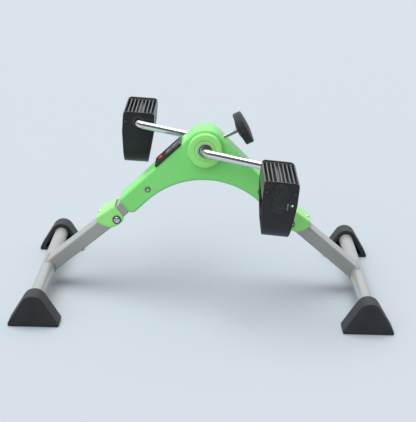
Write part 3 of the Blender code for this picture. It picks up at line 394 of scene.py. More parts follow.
def carve(item, tools, operation="DIFFERENCE"):
    """Cut or join the tools in turn with exact Booleans; apply each and remove the tool."""
    for tool in tools:
        modifier = item.modifiers.new(tool.name, "BOOLEAN")
        modifier.operation = operation
        modifier.solver = "EXACT"
        modifier.object = tool
        bpy.context.view_layer.update()
        ready = item.evaluated_get(bpy.context.evaluated_depsgraph_get())
        mesh = bpy.data.meshes.new_from_object(ready)
        item.modifiers.clear()
        item.data = mesh
        tidy_mesh(mesh)
        bpy.data.objects.remove(tool, do_unlink=True)
    return item


def dress(item, finish, body, *nodes, slot, angle=32):
    """Sharp edges over the angle, one finish, a body to ride and the nodes it stands for."""
    item.data.materials.clear()
    item.data.materials.append(finish)
    item.data.shade_smooth()
    item.data.set_sharp_from_angle(angle=math.radians(angle))
    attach(item, body)
    if nodes:
        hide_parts(*nodes)
    return item


print("mesh helpers ready")

# %% [markdown]
# ## Outlines
#
# Moulded and bent parts have rounded corners everywhere. `rounded` puts an arc at each corner of a
# polygon: its centre lies on the corner's bisector, at radius / sin(half the corner's angle).
# `inset` moves an outline inward, which shapes rounded edges, and `evenly` adds points on long
# straights so that smooth shading stays flat there.

# %% Outline helpers
def rounded(corners, closed=True, step=5.0):
    """Corners of (x, z, radius) joined by straights and by arcs of about step degrees a side."""
    parts = []
    for index, (x, z, radius) in enumerate(corners):
        if radius == 0 or (not closed and index in (0, len(corners) - 1)):
            parts.append(np.array([[x, z]]))
            continue
        before, after = corners[index - 1], corners[(index + 1) % len(corners)]
        back = math.atan2(before[1] - z, before[0] - x)
        ahead = math.atan2(after[1] - z, after[0] - x)
        opening = (ahead - back + math.pi) % (2 * math.pi) - math.pi
        middle = back + opening / 2
        reach = radius / abs(math.sin(opening / 2))
        half = math.copysign((math.pi - abs(opening)) / 2, opening)
        count = max(4, math.ceil(abs(math.degrees(2 * half)) / step)) + 1
        sweep = np.linspace(middle + math.pi + half, middle + math.pi - half, count)
        centre = np.array([x, z]) + reach * np.array([math.cos(middle), math.sin(middle)])
        parts.append(centre + radius * np.stack([np.cos(sweep), np.sin(sweep)], axis=1))
    return np.concatenate(parts)


def evenly(outline, spacing, closed=True):
    """Keep every corner point and add points between them, at most spacing apart."""
    path = np.concatenate([outline, outline[:1]]) if closed else outline
    along = np.concatenate([[0.0], np.cumsum(np.linalg.norm(np.diff(path, axis=0), axis=1))])
    extra = np.linspace(0.0, along[-1], max(2, int(along[-1] / spacing)))
    gaps = np.abs(extra[:, None] - along[None, :]).min(axis=1)
    spots = np.sort(np.concatenate([along, extra[gaps > 0.25 * spacing]]))
    points = np.stack([np.interp(spots, along, part) for part in path.T], axis=1)
    return points[:-1] if closed else points


def inset(outline, distance):
    """Each point moves in by distance / cos(half its turn), at right angles to the outline."""
    before = outline - np.roll(outline, 1, axis=0)
    after = np.roll(outline, -1, axis=0) - outline
    first = np.arctan2(before[:, 1], before[:, 0])
    second = np.arctan2(after[:, 1], after[:, 0])
    turn = (second - first + math.pi) % (2 * math.pi) - math.pi
    normal = first + turn / 2 + math.pi / 2
    reach = distance / np.cos(turn / 2)
    return outline + reach[:, None] * np.stack([np.cos(normal), np.sin(normal)], axis=1)


def across_y(outline, y):
    """(x, z) outline standing at one y."""
    return np.stack([outline[:, 0], np.full(len(outline), y), outline[:, 1]], axis=1)


def lying(outline, z):
    """(x, y) outline lying at one z."""
    return np.column_stack([outline, np.full(len(outline), z)])


def edge_steps(radius, depth, count=6):
    """(inset, depth) pairs of a quarter-round edge, from the flat face to the side wall."""
    turn = np.linspace(0.0, math.pi / 2, count + 1)
    return list(zip(radius * (1 - np.sin(turn)), depth - radius * (1 - np.cos(turn))))


def layered(outline, levels, stand):
    """One ring of points for each (inset, depth) level."""
    return np.stack([stand(inset(outline, inward), depth) for inward, depth in levels])


def slab(outline, low, high, radius, stand=lying):
    """Grid of a plate with both rims rounded; the extra inner ring keeps its faces flat."""
    steps = edge_steps(radius, high)
    top = [(radius + 0.3 * MM, high)] + steps
    bottom = [(radius + 0.3 * MM, low)] + [(inward, low + high - depth) for inward, depth in steps]
    levels = bottom + top[::-1]
    return layered(outline, levels, stand)


def ring_of(profile, count, place=None):
    """Turn (radius, height) points about Z: x = r cos t, y = r sin t."""
    turn = np.linspace(0.0, 2 * math.pi, count, endpoint=False)
    radius, height = np.asarray(profile, dtype=float).T
    grid = np.stack([radius[:, None] * np.cos(turn), radius[:, None] * np.sin(turn),
                     np.repeat(height[:, None], count, axis=1)], axis=-1)
    return grid if place is None else placed(grid, place)


def tool_ring(radius, low, high, place, count=48):
    """Round cutter along the Z axis of a frame."""
    return skin("tool", ring_of([(radius, low), (radius, high)], count, place))


def tool_block(low, high, place=UPRIGHT):
    """Box cutter between two corners in a frame."""
    corners = np.array([(low[0], low[1]), (high[0], low[1]), (high[0], high[1]), (low[0], high[1])])
    return skin("tool", placed(np.stack([lying(corners, low[2]), lying(corners, high[2])]), place))


print("outline helpers ready")

# %% [markdown]
# ## The housing
#
# Two moulded shells meet on the middle plane. Seen from the front each is a dome that runs into
# two sloping arms over an arched underside. A shell is that outline carried through depth: flat
# face, rounded edge, side wall, rim, and back up the inside. We could bevel a plain solid instead,
# but the concave arch makes bevels pinch, while insetting the outline ring by ring stays exact.

# %% Housing outline
DOME_R = 30 * MM
ARM_DEPTH = 30 * MM
ARM_LENGTH = 149.5 * MM
UNDER_R = 122 * MM
SHELL_HALF = 24 * MM
REAR_BULGE = 30 * MM
SHELL_WALL = 2.5 * MM
SHELL_EDGE = 4 * MM
GAP = 0.3 * MM
COS, SIN = math.cos(ARM_SLOPE), math.sin(ARM_SLOPE)
DOME_TOP = (0.0, HUB[2] + DOME_R / COS, DOME_R)


def arm_end(length):
    """Top corner of the right arm, that far down the slope from the dome."""
    return DOME_R * SIN + length * COS, HUB[2] + DOME_R * COS - length * SIN


def housing_outline():
    """Dome, two arms with rounded ends, and the arch between them."""
    end_x, end_z = arm_end(ARM_LENGTH)
    low_x, low_z = end_x - ARM_DEPTH * SIN, end_z - ARM_DEPTH * COS
    arch = HUB[2] + (DOME_R - ARM_DEPTH) / COS
    corners = [DOME_TOP, (-end_x, end_z, 6 * MM), (-low_x, low_z, 9 * MM), (0.0, arch, UNDER_R),
               (low_x, low_z, 9 * MM), (end_x, end_z, 6 * MM)]
    return evenly(rounded(corners, step=3.0), 4 * MM)


def bulge_outline():
    """Raised middle of the rear shell: the same dome and arch with shorter arms."""
    end_x, end_z = arm_end(79 * MM)
    half = math.asin(58 * MM / UNDER_R)
    sweep = np.linspace(math.pi / 2 + half, math.pi / 2 - half, 40)
    middle = HUB[2] + (DOME_R - ARM_DEPTH - UNDER_R) / COS
    under = [(UNDER_R * math.cos(t), middle + UNDER_R * math.sin(t), 0.0) for t in sweep]
    corners = [DOME_TOP, (-end_x, end_z, 6 * MM)] + under + [(end_x, end_z, 6 * MM)]
    return evenly(inset(rounded(corners, step=4.0), 0.5 * MM), 4 * MM)


def shell_tray(way):
    """Outside face, rounded edge, wall, rim and inside of one shell; way is -1 for the front."""
    levels = [(SHELL_EDGE + 0.3 * MM, SHELL_HALF)] + edge_steps(SHELL_EDGE, SHELL_HALF)
    levels += [(0.0, SHELL_HALF - 6 * MM), (0.0, GAP / 2), (SHELL_WALL, GAP / 2)]
    levels += [(SHELL_WALL, SHELL_HALF - SHELL_WALL)]
    outline = housing_outline()
    return np.stack([across_y(inset(outline, inward), way * depth) for inward, depth in levels])


print("outline points:", len(housing_outline()), len(bulge_outline()))

# %% [markdown]
# The openings come next: the axle's hole, the ends where the neck tubes come out, two screw
# recesses on each side, the seat of the counter, and the hole of the tension screw. Each one is a
# cutter.

# %% Housing shells
METER_DOWN = 20.6 * MM + 51.6 * MM / 2
METER_ORIGIN = (-DOME_R * SIN - METER_DOWN * COS, 0.0, HUB[2] + DOME_R * COS - METER_DOWN * SIN)
meter_frame = local_frame(METER_ORIGIN, (-SIN, 0, COS), (COS, 0, SIN))
SCREW_SPOT = (-66.4 * MM, 0.0, 2.7 * MM)
hub_along_y = local_frame(HUB, (0, -1, 0), (1, 0, 0))


def screw_frame(side):
    """Shell screw's axis: Z points to the front, whichever side it is on."""
    return local_frame(placed(SCREW_SPOT, arm[side]), (0, -1, 0), (1, 0, 0))


def housing_tools():
    """Every opening that both shells share."""
    tools = [tool_ring(13.8 * MM, -60 * MM, 60 * MM, hub_along_y, 96)]
    tools.append(tool_block((-26.1 * MM, -40 * MM, -1.2 * MM), (26.1 * MM, 40 * MM, 12 * MM),
                            meter_frame))
    tools.append(tool_block((-21.3 * MM, -17.3 * MM, -6 * MM), (21.3 * MM, 17.3 * MM, 4 * MM),
                            meter_frame))
    tools.append(tool_ring(4.2 * MM, 21.3 * MM, 53 * MM, knob_frame))
    recess = [(4.7 * MM, -60 * MM), (4.7 * MM, -22.5 * MM), (2.35 * MM, -22.5 * MM),
              (2.35 * MM, 22.5 * MM), (4.7 * MM, 22.5 * MM), (4.7 * MM, 60 * MM)]
    for place in (screw_frame("left"), screw_frame("right")):
        tools.append(skin("tool", ring_of(recess, 48, place)))
    for place in arm.values():
        tools.append(tool_block((-28.6 * MM, -20.6 * MM, -5.1 * MM),
                                (-18.6 * MM, 20.6 * MM, 15.5 * MM), place))
    return tools


front_shell = carve(skin("front_shell_smooth", shell_tray(-1)), housing_tools())
dress(front_shell, shell_green, "housing", "front_shell", slot="green_plastic")
bulge = bulge_outline()
filler_levels = [(SHELL_EDGE + 0.3 * MM, REAR_BULGE), *edge_steps(SHELL_EDGE, REAR_BULGE),
                 (0.0, 19 * MM)]
filler = skin("tool", layered(bulge, filler_levels, across_y))
hollow_levels = [(SHELL_WALL, 19 * MM), (SHELL_WALL, REAR_BULGE - SHELL_WALL)]
hollow = skin("tool", layered(bulge, hollow_levels, across_y))
rear_shell = carve(skin("rear_shell_smooth", shell_tray(1)), [filler], "UNION")
rear_shell = carve(rear_shell, [hollow] + housing_tools())
dress(rear_shell, shell_green, "housing", "rear_shell", slot="green_plastic")
print("shell faces:", len(front_shell.data.polygons), len(rear_shell.data.polygons))

# %% [markdown]
# ## Hub rings and bearings
#
# A lime ring is pushed into each shell round the axle. It is turned: a flat band outside, a
# groove, and a low collar round the bearing. The profile is a closed polygon with rounded corners,
# spun once.

# %% Hub rings
def hub_ring(name, face, proud, place):
    """Spigot, band, groove and collar; heights run outward from the middle plane."""
    top, root, seat = face + proud, face - 4.5 * MM, face + GAP
    corners = [(11.0, root, 0.3), (13.5, root, 0.3), (13.5, seat, 0.2), (25.4, seat, 0.4),
               (25.4, top, 2.2), (16.4, top, 0.5), (15.8, top - 1.5 * MM, 0.3),
               (14.4, top - 1.5 * MM, 0.3), (13.8, top - 0.3 * MM, 0.5),
               (11.0, top - 0.3 * MM, 0.7)]
    profile = rounded([(r * MM, z, fillet * MM) for r, z, fillet in corners], step=15.0)
    return skin(name, ring_of(profile, 112, place), joined=True)


hub_back = local_frame(HUB, (0, 1, 0), (1, 0, 0))
for end, face, proud, place in (("front", 24 * MM, 11 * MM, hub_along_y),
                                ("rear", 30 * MM, 6.5 * MM, hub_back)):
    ring = hub_ring(f"{end}_hub_ring_smooth", face, proud, place)
    dress(ring, cap_lime, "housing", f"{end}_hub_ring", slot="lime_plastic")
    high = face + proud - 3 * MM
    seal = rounded([(7.7 * MM, high, 0), (9.4 * MM, high, 0),
                    (9.4 * MM, high + 0.15 * MM, 0.1 * MM),
                    (7.7 * MM, high + 0.15 * MM, 0.1 * MM)])
    seal = skin(f"{end}_bearing_seal", ring_of(seal, 72, place), joined=True)
    dress(seal, inner_black, "housing", slot="black_plastic")
print("hub rings and seals done")

# %% [markdown]
# ## Crank
#
# The crank is one round bar bent four times. Its path lies in one plane: straights with an arc of
# 11 mm at each bend. A circle carried along the path gives the bar: point + r cos t up + r sin t
# side.

# %% Crank rod
def swept(path, up, radius, sides=36, closed=False):
    """Circle of radius carried along path; side is the tangent crossed with up."""
    last = np.roll(path, 1, axis=0) if closed else np.concatenate([path[:1], path[:-1]])
    following = np.roll(path, -1, axis=0) if closed else np.concatenate([path[1:], path[-1:]])
    tangent = following - last
    tangent /= np.linalg.norm(tangent, axis=1, keepdims=True)
    up = np.broadcast_to(up, path.shape)
    up = up - tangent * np.sum(up * tangent, axis=1, keepdims=True)
    up /= np.linalg.norm(up, axis=1, keepdims=True)
    side = np.cross(tangent, up)
    turn = np.linspace(0.0, 2 * math.pi, sides, endpoint=False)
    radius = np.broadcast_to(radius, len(path))[:, None, None]
    rise = np.cos(turn)[None, :, None] * up[:, None, :]
    reach = np.sin(turn)[None, :, None] * side[:, None, :]
    return path[:, None, :] + radius * (rise + reach)


CRANK_DROP = math.radians(10)
CRANK_R = 106 * MM
ROD_R = 6 * MM
crank_frame = local_frame(HUB, (math.sin(CRANK_DROP), 0, math.cos(CRANK_DROP)), (1, 0, 0))
bends = [(-CRANK_R, 183.9 * MM, 0), (-CRANK_R, 56 * MM, 11 * MM), (0.0, 47 * MM, 11 * MM),
         (0.0, -47 * MM, 11 * MM), (CRANK_R, -56 * MM, 11 * MM), (CRANK_R, -183.9 * MM, 0)]
rod_path = lying(evenly(rounded(bends, closed=False, step=4.0), 5 * MM, closed=False), 0.0)
rod = skin("crank_rod_smooth", placed(swept(rod_path, np.array([0.0, 0.0, 1.0]), ROD_R),
                                      crank_frame))
dress(rod, rod_chrome, "crank", "crank_rod", slot="chrome")
print("rod faces:", len(rod.data.polygons))

# %% [markdown]
# ## Pedals
#
# Each pedal is a ribbed tread between two end plates, with a flexible strap that hangs below it in
# a loop. The strap is one flat band: its middle line goes down, across and up again, and its half
# width narrows towards the bottom. A rounded rectangle carried along that line makes the band, and
# Booleans punch the screw holes, the spindle's hole, and the slit and peg hole of the size
# adjustment.

# %% Pedal frames and the strap
TREAD_TILT = {"near": math.radians(4.9), "far": math.radians(2.9)}
pedal = {}
for side, way in (("near", 1), ("far", -1)):
    tilt = TREAD_TILT[side]
    pedal[side] = local_frame(joints[f"{side}_pedal_spin"]["pos_m"],
                              (math.sin(tilt), 0, math.cos(tilt)), (way, 0, 0))
STRAP_OUT = 188.2 * MM
STRAP_THICK = 2.5 * MM
TAB_TOP = 15.3 * MM
TAB_CORNER = 6 * MM
TAB_HALF = 24.25 * MM
LOW_HALF = 18.5 * MM
TAPER_FROM = -16 * MM
STRAP_LOW = -66.75 * MM


def strap_half(z):
    """Half width: a quarter circle at the tab's corner, straight, then narrowing evenly."""
    above = np.clip((z - (TAB_TOP - TAB_CORNER)) / TAB_CORNER, 0.0, 1.0)
    corner = TAB_CORNER * (1 - np.sqrt(1 - above ** 2))
    below = np.clip(TAPER_FROM - z, 0.0, None)
    return TAB_HALF - corner - below * (TAB_HALF - LOW_HALF) / (TAPER_FROM - STRAP_LOW)


def strap_grid():
    """Rounded rectangle, half width x half thickness, along the loop's middle line."""
    outer, inner = -STRAP_OUT + STRAP_THICK / 2, -68.6 * MM - STRAP_THICK / 2
    crown = TAB_TOP - TAB_CORNER * (1 - np.sin(np.linspace(math.pi / 2, 0.0, 10)))
    bend = rounded([(outer, 0.0, 0), (outer, STRAP_LOW, 28 * MM), (inner, STRAP_LOW, 28 * MM),
                    (inner, 0.0, 0)],
                   closed=False, step=4.0)
    bend = evenly(bend, 3 * MM, closed=False)
    path = np.concatenate([np.column_stack([np.full(10, outer), crown]), bend,
                           np.column_stack([np.full(10, inner), crown[::-1]])])
    ahead = np.gradient(path, axis=0)
    ahead /= np.linalg.norm(ahead, axis=1, keepdims=True)
    normal = np.column_stack([-ahead[:, 1], ahead[:, 0]])
    half = strap_half(path[:, 1])
    edge = 0.8 * MM
    turn = np.radians([0, 30, 60, 90, 90, 120, 150, 180, 180, 210, 240, 270, 270, 300, 330, 360])
    corner_x = np.repeat([1, -1, -1, 1], 4)
    corner_n = np.repeat([1, 1, -1, -1], 4)
    across = corner_x * (half[:, None] - edge) + edge * np.cos(turn)
    through = corner_n * (STRAP_THICK / 2 - edge) + edge * np.sin(turn)
    side_y = path[:, 0][:, None] + normal[:, 0][:, None] * through
    side_z = path[:, 1][:, None] + normal[:, 1][:, None] * through
    return np.stack([across, side_y, side_z], axis=-1)


def strap_tools(place):
    """Screw holes with their counterbores, the spindle's hole, the slit and the peg hole."""
    origin, axes = place
    tools = []
    for face, way in ((185.7 * MM, -1), (71.1 * MM, 1)):
        for x in (-19.5 * MM, 19.5 * MM):
            spot = local_frame(placed((x, -face, 0.0), place), way * axes[1], axes[0])
            tools.append(tool_ring(1.85 * MM, -5 * MM, 5 * MM, spot, 24))
            tools.append(tool_ring(3.5 * MM, 1 * MM, 6 * MM, spot, 32))
    entry = local_frame(placed((0, -68.6 * MM, 0), place), axes[1], axes[0])
    tools.append(tool_ring(10 * MM, -5 * MM, 5 * MM, entry, 64))
    peg = local_frame(placed((17 * MM, -187 * MM, -16.5 * MM), place), axes[1], axes[0])
    tools.append(tool_ring(2 * MM, -5 * MM, 5 * MM, peg, 24))
    tools.append(tool_block((10.5 * MM, -193 * MM, -23.5 * MM), (11.9 * MM, -180 * MM, -13.5 * MM),
                            place))
    return tools


for side, place in pedal.items():
    strap = carve(skin(f"{side}_strap_smooth", placed(strap_grid(), place)), strap_tools(place))
    dress(strap, strap_vinyl, f"{side}_pedal", f"{side}_strap", slot="black_plastic")
    print(side, "strap faces:", len(strap.data.polygons))

# %% [markdown]
# The spindle's end is covered by a flat cap with a tongue, where the strap hooks on. It is a plate
# with rounded rims, and a thin bead runs round it a little way in, as moulded parts often have.

# %% Pedal caps
CAP_R, TONGUE_HALF, TONGUE_DROP = 13 * MM, 10 * MM, 30 * MM


def pedal_cap_outline():
    """Three quarters of a circle, joined to a tongue with a round end."""
    drop = math.acos(TONGUE_HALF / CAP_R)
    top = np.linspace(-drop, math.pi + drop, 40)
    low = np.linspace(math.pi, 2 * math.pi, 24)
    disc = CAP_R * np.stack([np.cos(top), np.sin(top)], axis=1)
    tongue = TONGUE_HALF * np.stack([np.cos(low), np.sin(low)], axis=1)
    return np.concatenate([disc, tongue + (0.0, TONGUE_HALF - TONGUE_DROP)])


for side, place in pedal.items():
    outline = evenly(pedal_cap_outline(), 1.5 * MM)
    cap = skin(f"{side}_pedal_cap_smooth", placed(slab(outline, -190 * MM, -188.5 * MM, 0.5 * MM,
                                                       across_y), place))
    dress(cap, pedal_black, f"{side}_pedal", f"{side}_pedal_cap", slot="black_plastic")
    bead_path = across_y(inset(outline, 2.2 * MM), -190 * MM)
    bead = swept(bead_path, np.array([0.0, -1.0, 0.0]), 0.45 * MM, 10, closed=True)
    bead = skin(f"{side}_cap_bead", placed(bead, place), joined=True)
    dress(bead, pedal_black, f"{side}_pedal", slot="black_plastic")
    button = [(0.0, 0.9), (1.6, 0.85), (2.4, 0.5), (2.6, 0.0), (0.0, 0.0)]
    out = local_frame(placed((0, -190 * MM, 0), place), -place[1][1], place[1][0])
    button = skin(f"{side}_cap_centre", ring_of(np.array(button) * MM, 48, out))
    dress(button, pedal_black, f"{side}_pedal", slot="black_plastic")
print("pedal caps done")

# %% [markdown]
# ## Screws, bolts and washers
#
# Pan-head screws are turned, then a cross is cut into the head. The hinge bolt sits on a toothed
# lock washer, whose rim is a circle with its radius swinging quickly between two values.

# %% Screws and washers
def cross_screw(name, shank_r, shank, head_r, head, place, cross=0.62):
    """Domed head of radius head_r on a plain shank; Z of the frame points out of the head."""
    dome = np.linspace(0.0, math.pi / 2, 8)
    crown = np.stack([head_r * np.cos(dome), head * (0.35 + 0.65 * np.sin(dome))], axis=1)
    profile = np.concatenate([[(0.0, -shank), (shank_r, -shank), (shank_r, 0.0), (head_r, 0.0)],
                              crown])
    screw = skin(name, ring_of(profile, 40, place))
    arm_long, arm_half, floor = cross * head_r, 0.11 * head_r, 0.35 * head
    tools = [tool_block((-arm_long, -arm_half, floor), (arm_long, arm_half, 3 * head), place),
             tool_block((-arm_half, -arm_long, floor), (arm_half, arm_long, 3 * head), place)]
    return carve(screw, tools)


def star_washer(name, inner, outer, teeth, thick, place):
    """Flat ring whose outer radius swings by a tenth, teeth times round."""
    turn = np.linspace(0.0, 2 * math.pi, teeth * 8, endpoint=False)
    wave = np.cos(teeth * turn)
    rim = outer * (0.95 + 0.05 * np.sign(wave) * np.abs(wave) ** 0.4)
    rings = [(rim, 0.0), (rim, thick), (np.full_like(rim, inner), thick),
             (np.full_like(rim, inner), 0.0)]
    grid = np.stack([np.stack([r * np.cos(turn), r * np.sin(turn), np.full_like(r, z)], axis=1)
                     for r, z in rings])
    return skin(name, placed(grid, place), joined=True)


for side, place in pedal.items():
    number = 0
    for face, way in ((185.7 * MM, -1), (71.1 * MM, 1)):
        for x in (-19.5 * MM, 19.5 * MM):
            number += 1
            spot = placed((x, -face + way * 1.3 * MM, 0.0), place)
            head = cross_screw(f"{side}_pedal_screw_{number}_smooth", 1.5 * MM, 9 * MM, 3 * MM,
                               1.1 * MM,
                               local_frame(spot, way * place[1][1], place[1][0]))
            dress(head, dark_steel, f"{side}_pedal", f"{side}_pedal_screw_{number}", slot="steel")
for side in ("left", "right"):
    spot = screw_frame(side)
    out = local_frame(placed((0, 0, 22.8 * MM), spot), spot[1][2], spot[1][0])
    screw = cross_screw(f"{side}_shell_screw_smooth", 2 * MM, 48.6 * MM, 3.4 * MM, 1.9 * MM, out)
    dress(screw, zinc_plate, "housing", f"{side}_shell_screw", slot="chrome")
    # Painted shade: a thin dark toothed washer on the recess floor darkens the ring round each shell
    # screw's head, where the recess lies in shade.
    washer = star_washer(f"{side}_shell_shade_washer", 2.4 * MM, 4.6 * MM, 12, 0.2 * MM,
                         local_frame(placed((0, 0, 22.55 * MM), spot), spot[1][2], spot[1][0]))
    dress(washer, dark_steel, "housing", slot="steel")
    pivot = local_frame(leg[side][0] + (0, -24.3 * MM, 0), (0, -1, 0), (1, 0, 0))
    bolt = cross_screw(f"{side}_hinge_bolt_smooth", 3 * MM, 52.6 * MM, 4.6 * MM, 2.8 * MM, pivot,
                       0.55)
    dress(bolt, rod_chrome, f"{side}_leg", f"{side}_hinge_bolt", slot="chrome")
    washer = star_washer(f"{side}_star_washer", 3.3 * MM, 7.0 * MM, 9, 0.3 * MM,
                         local_frame(leg[side][0] + (0, -24.02 * MM, 0), (0, -1, 0), (1, 0, 0)))
    dress(washer, dark_steel, f"{side}_leg", slot="steel")
print("screws, bolts and washers done")

# %% [markdown]
# ## Tension knob and its screw
#
# The knob is a thick disc with shallow flutes to grip. Its profile is turned as usual, but on the
# rim the radius also falls and rises forty-eight times round. The screw's thread is a ridge that
# climbs one pitch a turn: radius = root + ridge x triangle(height / pitch - angle / full turn).

# %% Knob and thread
def knob_grid():
    """Turned profile whose rim radius is cut by 48 flutes."""
    corners = [(0.0, 62.1, 0), (3.3, 62.1, 0), (3.3, 53.1, 0.2), (8.0, 53.1, 0.8),
               (19.0, 56.6, 2.0),
               (25.0, 56.6, 1.6), (25.0, 68.6, 1.8), (17.5, 69.6, 3.0), (16.6, 68.9, 0.3),
               (15.6, 69.9, 0.3),
               (9.0, 70.7, 6.0), (0.0, 71.1, 0)]
    profile = evenly(rounded([(r * MM, z * MM, f * MM) for r, z, f in corners], closed=False,
                             step=15.0),
                     1.5 * MM, closed=False)
    grid = ring_of(profile, 384)
    turn = np.arctan2(grid[..., 1], grid[..., 0])
    reach = np.clip((profile[:, 0] / MM - 22.5) / 1.5, 0.0, 1.0)[:, None]
    flute = 0.4 * MM * reach * np.clip(np.cos(48 * turn), 0.0, 1.0) ** 1.5
    shrink = 1 - flute / np.maximum(profile[:, 0], 1 * MM)[:, None]
    return grid * np.stack([shrink, shrink, np.ones_like(shrink)], axis=-1)


def thread_grid(pitch=1.0 * MM, root=2.65 * MM, ridge=0.35 * MM):
    """Ridge that climbs one pitch each turn, faded out at both ends."""
    height = np.arange(17.2 * MM, 61.8 * MM, pitch / 6)
    turn = np.linspace(0.0, 2 * math.pi, 28, endpoint=False)
    phase = height[:, None] / pitch - turn[None, :] / (2 * math.pi)
    saw = np.abs(2 * (phase - np.floor(phase)) - 1)
    radius = root + ridge * saw
    return np.stack([radius * np.cos(turn), radius * np.sin(turn),
                     np.repeat(height[:, None], 28, 1)], axis=-1)


knob = skin("tension_knob_smooth", placed(knob_grid(), knob_frame))
dress(knob, knob_black, "knob", "tension_knob", slot="black_plastic", angle=40)
thread = skin("tension_screw_smooth", placed(thread_grid(), knob_frame))
dress(thread, zinc_plate, "knob", "tension_screw", slot="chrome", angle=60)
print("knob faces:", len(knob.data.polygons), "thread faces:", len(thread.data.polygons))

# %% [markdown]
# ## Counter
#
# The counter is a flat black case let into the left slope, with a display window and a red button.
# Its four digits are seven-bar figures: each bar is a long hexagon, and a digit lights some of
# them.

# %% Counter case, digits and button
METER_TOP = 2.6 * MM


def plate_outline(width, height, radius, centre=(0.0, 0.0), step=10.0):
    """Rounded rectangle."""
    x, y = width / 2, height / 2
    corners = [(centre[0] + x * a, centre[1] + y * b, radius)
               for a, b in ((1, 1), (-1, 1), (-1, -1), (1, -1))]
    return rounded(corners, step=step)


case_outline = evenly(plate_outline(51.6 * MM, 50 * MM, 3 * MM), 4 * MM)
case = skin("meter_case_smooth", placed(slab(case_outline, -0.9 * MM, METER_TOP, 0.8 * MM),
                                        meter_frame))
box_tool = tool_block((-21 * MM, -17 * MM, -10 * MM), (21 * MM, 17 * MM, 0.6 * MM), meter_frame)
case = carve(case, [box_tool], "UNION")
slot_outline = plate_outline(7 * MM, 9.6 * MM, 3.2 * MM, (-15 * MM, 0.0))
slot_grid = np.stack([lying(slot_outline, -2 * MM), lying(slot_outline, 6 * MM)])
slot_tool = skin("tool", placed(slot_grid, meter_frame))
case = carve(case, [tool_block((-19.4 * MM, -15.4 * MM, -20 * MM), (19.4 * MM, 15.4 * MM, 0.6 * MM),
                               meter_frame),
                    tool_block((-4.3 * MM, -13.3 * MM, -2 * MM), (18.3 * MM, 13.3 * MM, 6 * MM),
                               meter_frame),
                    slot_tool])
dress(case, meter_black, "housing", "meter_case", slot="black_plastic")
bezel_path = lying(evenly(plate_outline(30 * MM, 34 * MM, 2 * MM, (7 * MM, 0.0)), 2 * MM),
                   METER_TOP)
bezel = swept(bezel_path, np.array([0.0, 0.0, 1.0]), 0.4 * MM, 10, closed=True)
dress(skin("meter_bezel", placed(bezel, meter_frame), joined=True), meter_black, "housing",
      slot="black_plastic")

BARS = {"top": (2.6, 0.0, 1), "mid": (0.0, 0.0, 1), "low": (-2.6, 0.0, 1),
        "tl": (1.3, 1.4, 0), "tr": (1.3, -1.4, 0), "bl": (-1.3, 1.4, 0), "br": (-1.3, -1.4, 0)}
ZERO = ("top", "tl", "tr", "bl", "br", "low")


def bar_outline(up, left, flat):
    """Hexagon 2.2 mm long and 0.5 mm wide, lying along Y if flat and along X if not."""
    half = np.array([(1.1, 0.0), (0.85, 0.25), (-0.85, 0.25), (-1.1, 0.0), (-0.85, -0.25),
                     (0.85, -0.25)]) * MM
    shape = half[:, ::-1] * (1, -1) if flat else half
    return shape + (up * MM, left * MM)


digits = []
for place_y in (7.5, 2.7, -2.7, -7.5):
    for bar in ZERO:
        up, left, flat = BARS[bar]
        outline = bar_outline(up + 7.0, left + place_y, flat)
        bar_grid = np.stack([lying(outline, METER_TOP - 0.29 * MM),
                             lying(outline, METER_TOP - 0.22 * MM)])
        digits.append(skin("bar", placed(bar_grid, meter_frame)))
with bpy.context.temp_override(active_object=digits[0], selected_editable_objects=digits):
    bpy.ops.object.join()
digits[0].name = "display_digits"
dress(digits[0], digit_ink, "housing", slot="display")
press_outline = evenly(plate_outline(6.4 * MM, 9 * MM, 3.1 * MM, (-15 * MM, 0.0)), 1 * MM)
button = skin("meter_button_smooth", placed(slab(press_outline, -2 * MM, 4.1 * MM, 0.9 * MM),
                                            meter_frame))
dress(button, button_red, "button", "meter_button", slot="red_plastic")
print("counter done, digit faces:", len(digits[0].data.polygons))

# %% [markdown]
# ## Legs
#
# Neck and leg tubes are the same rectangular stock, 40 by 20 mm, with rounded corners. A sleeve is
# four rings joined: outside one way, inside the other. The leg's end is coped, which means cut to
# the round of the floor tube that it is welded to. The hinge cap is a leaf-shaped block, hollowed
# for the tubes.

# %% Tubes, hinge caps and lock buttons
def stock_outline(shrink, rise):
    """(y, z) section of the rectangular tube, shrunk for its inside wall."""
    radius = 3 * MM - shrink
    corners = [(20 * MM - shrink, 10 * MM - shrink), (-20 * MM + shrink, 10 * MM - shrink),
               (-20 * MM + shrink, -10 * MM + shrink), (20 * MM - shrink, -10 * MM + shrink)]
    return rounded([(y, z + rise, radius) for y, z in corners], step=11.0)


def along_x(outline, x):
    """(y, z) outline standing at one x."""
    return np.column_stack([np.full(len(outline), x), outline])


def stock_tube(name, start, end, rise, place):
    """Sleeve of the stock along X: outside and inside walls, joined at both ends."""
    outer, inner = stock_outline(0.0, rise), stock_outline(1.5 * MM, rise)
    levels = [(outer, start), (outer, end), (inner, end), (inner, start)]
    return skin(name, placed(np.stack([along_x(outline, x) for outline, x in levels]), place),
                joined=True)


CROSS_R = 11 * MM
CROSS_X = float(np.mean(np.array(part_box("right_cross_tube"))[:, 0]))
CROSS_Z = float(np.mean(np.array(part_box("right_cross_tube"))[:, 2]))
LEG_RISE, NECK_RISE = 4.2 * MM, 5.2 * MM
away = np.array([CROSS_X, 0.0, CROSS_Z]) - leg["right"][0]
LEG_LENGTH = float(away @ leg["right"][1][0])
print("leg length", round(LEG_LENGTH / MM, 2), "mm, floor tube at", round(CROSS_X / MM, 1),
      round(CROSS_Z / MM, 1))

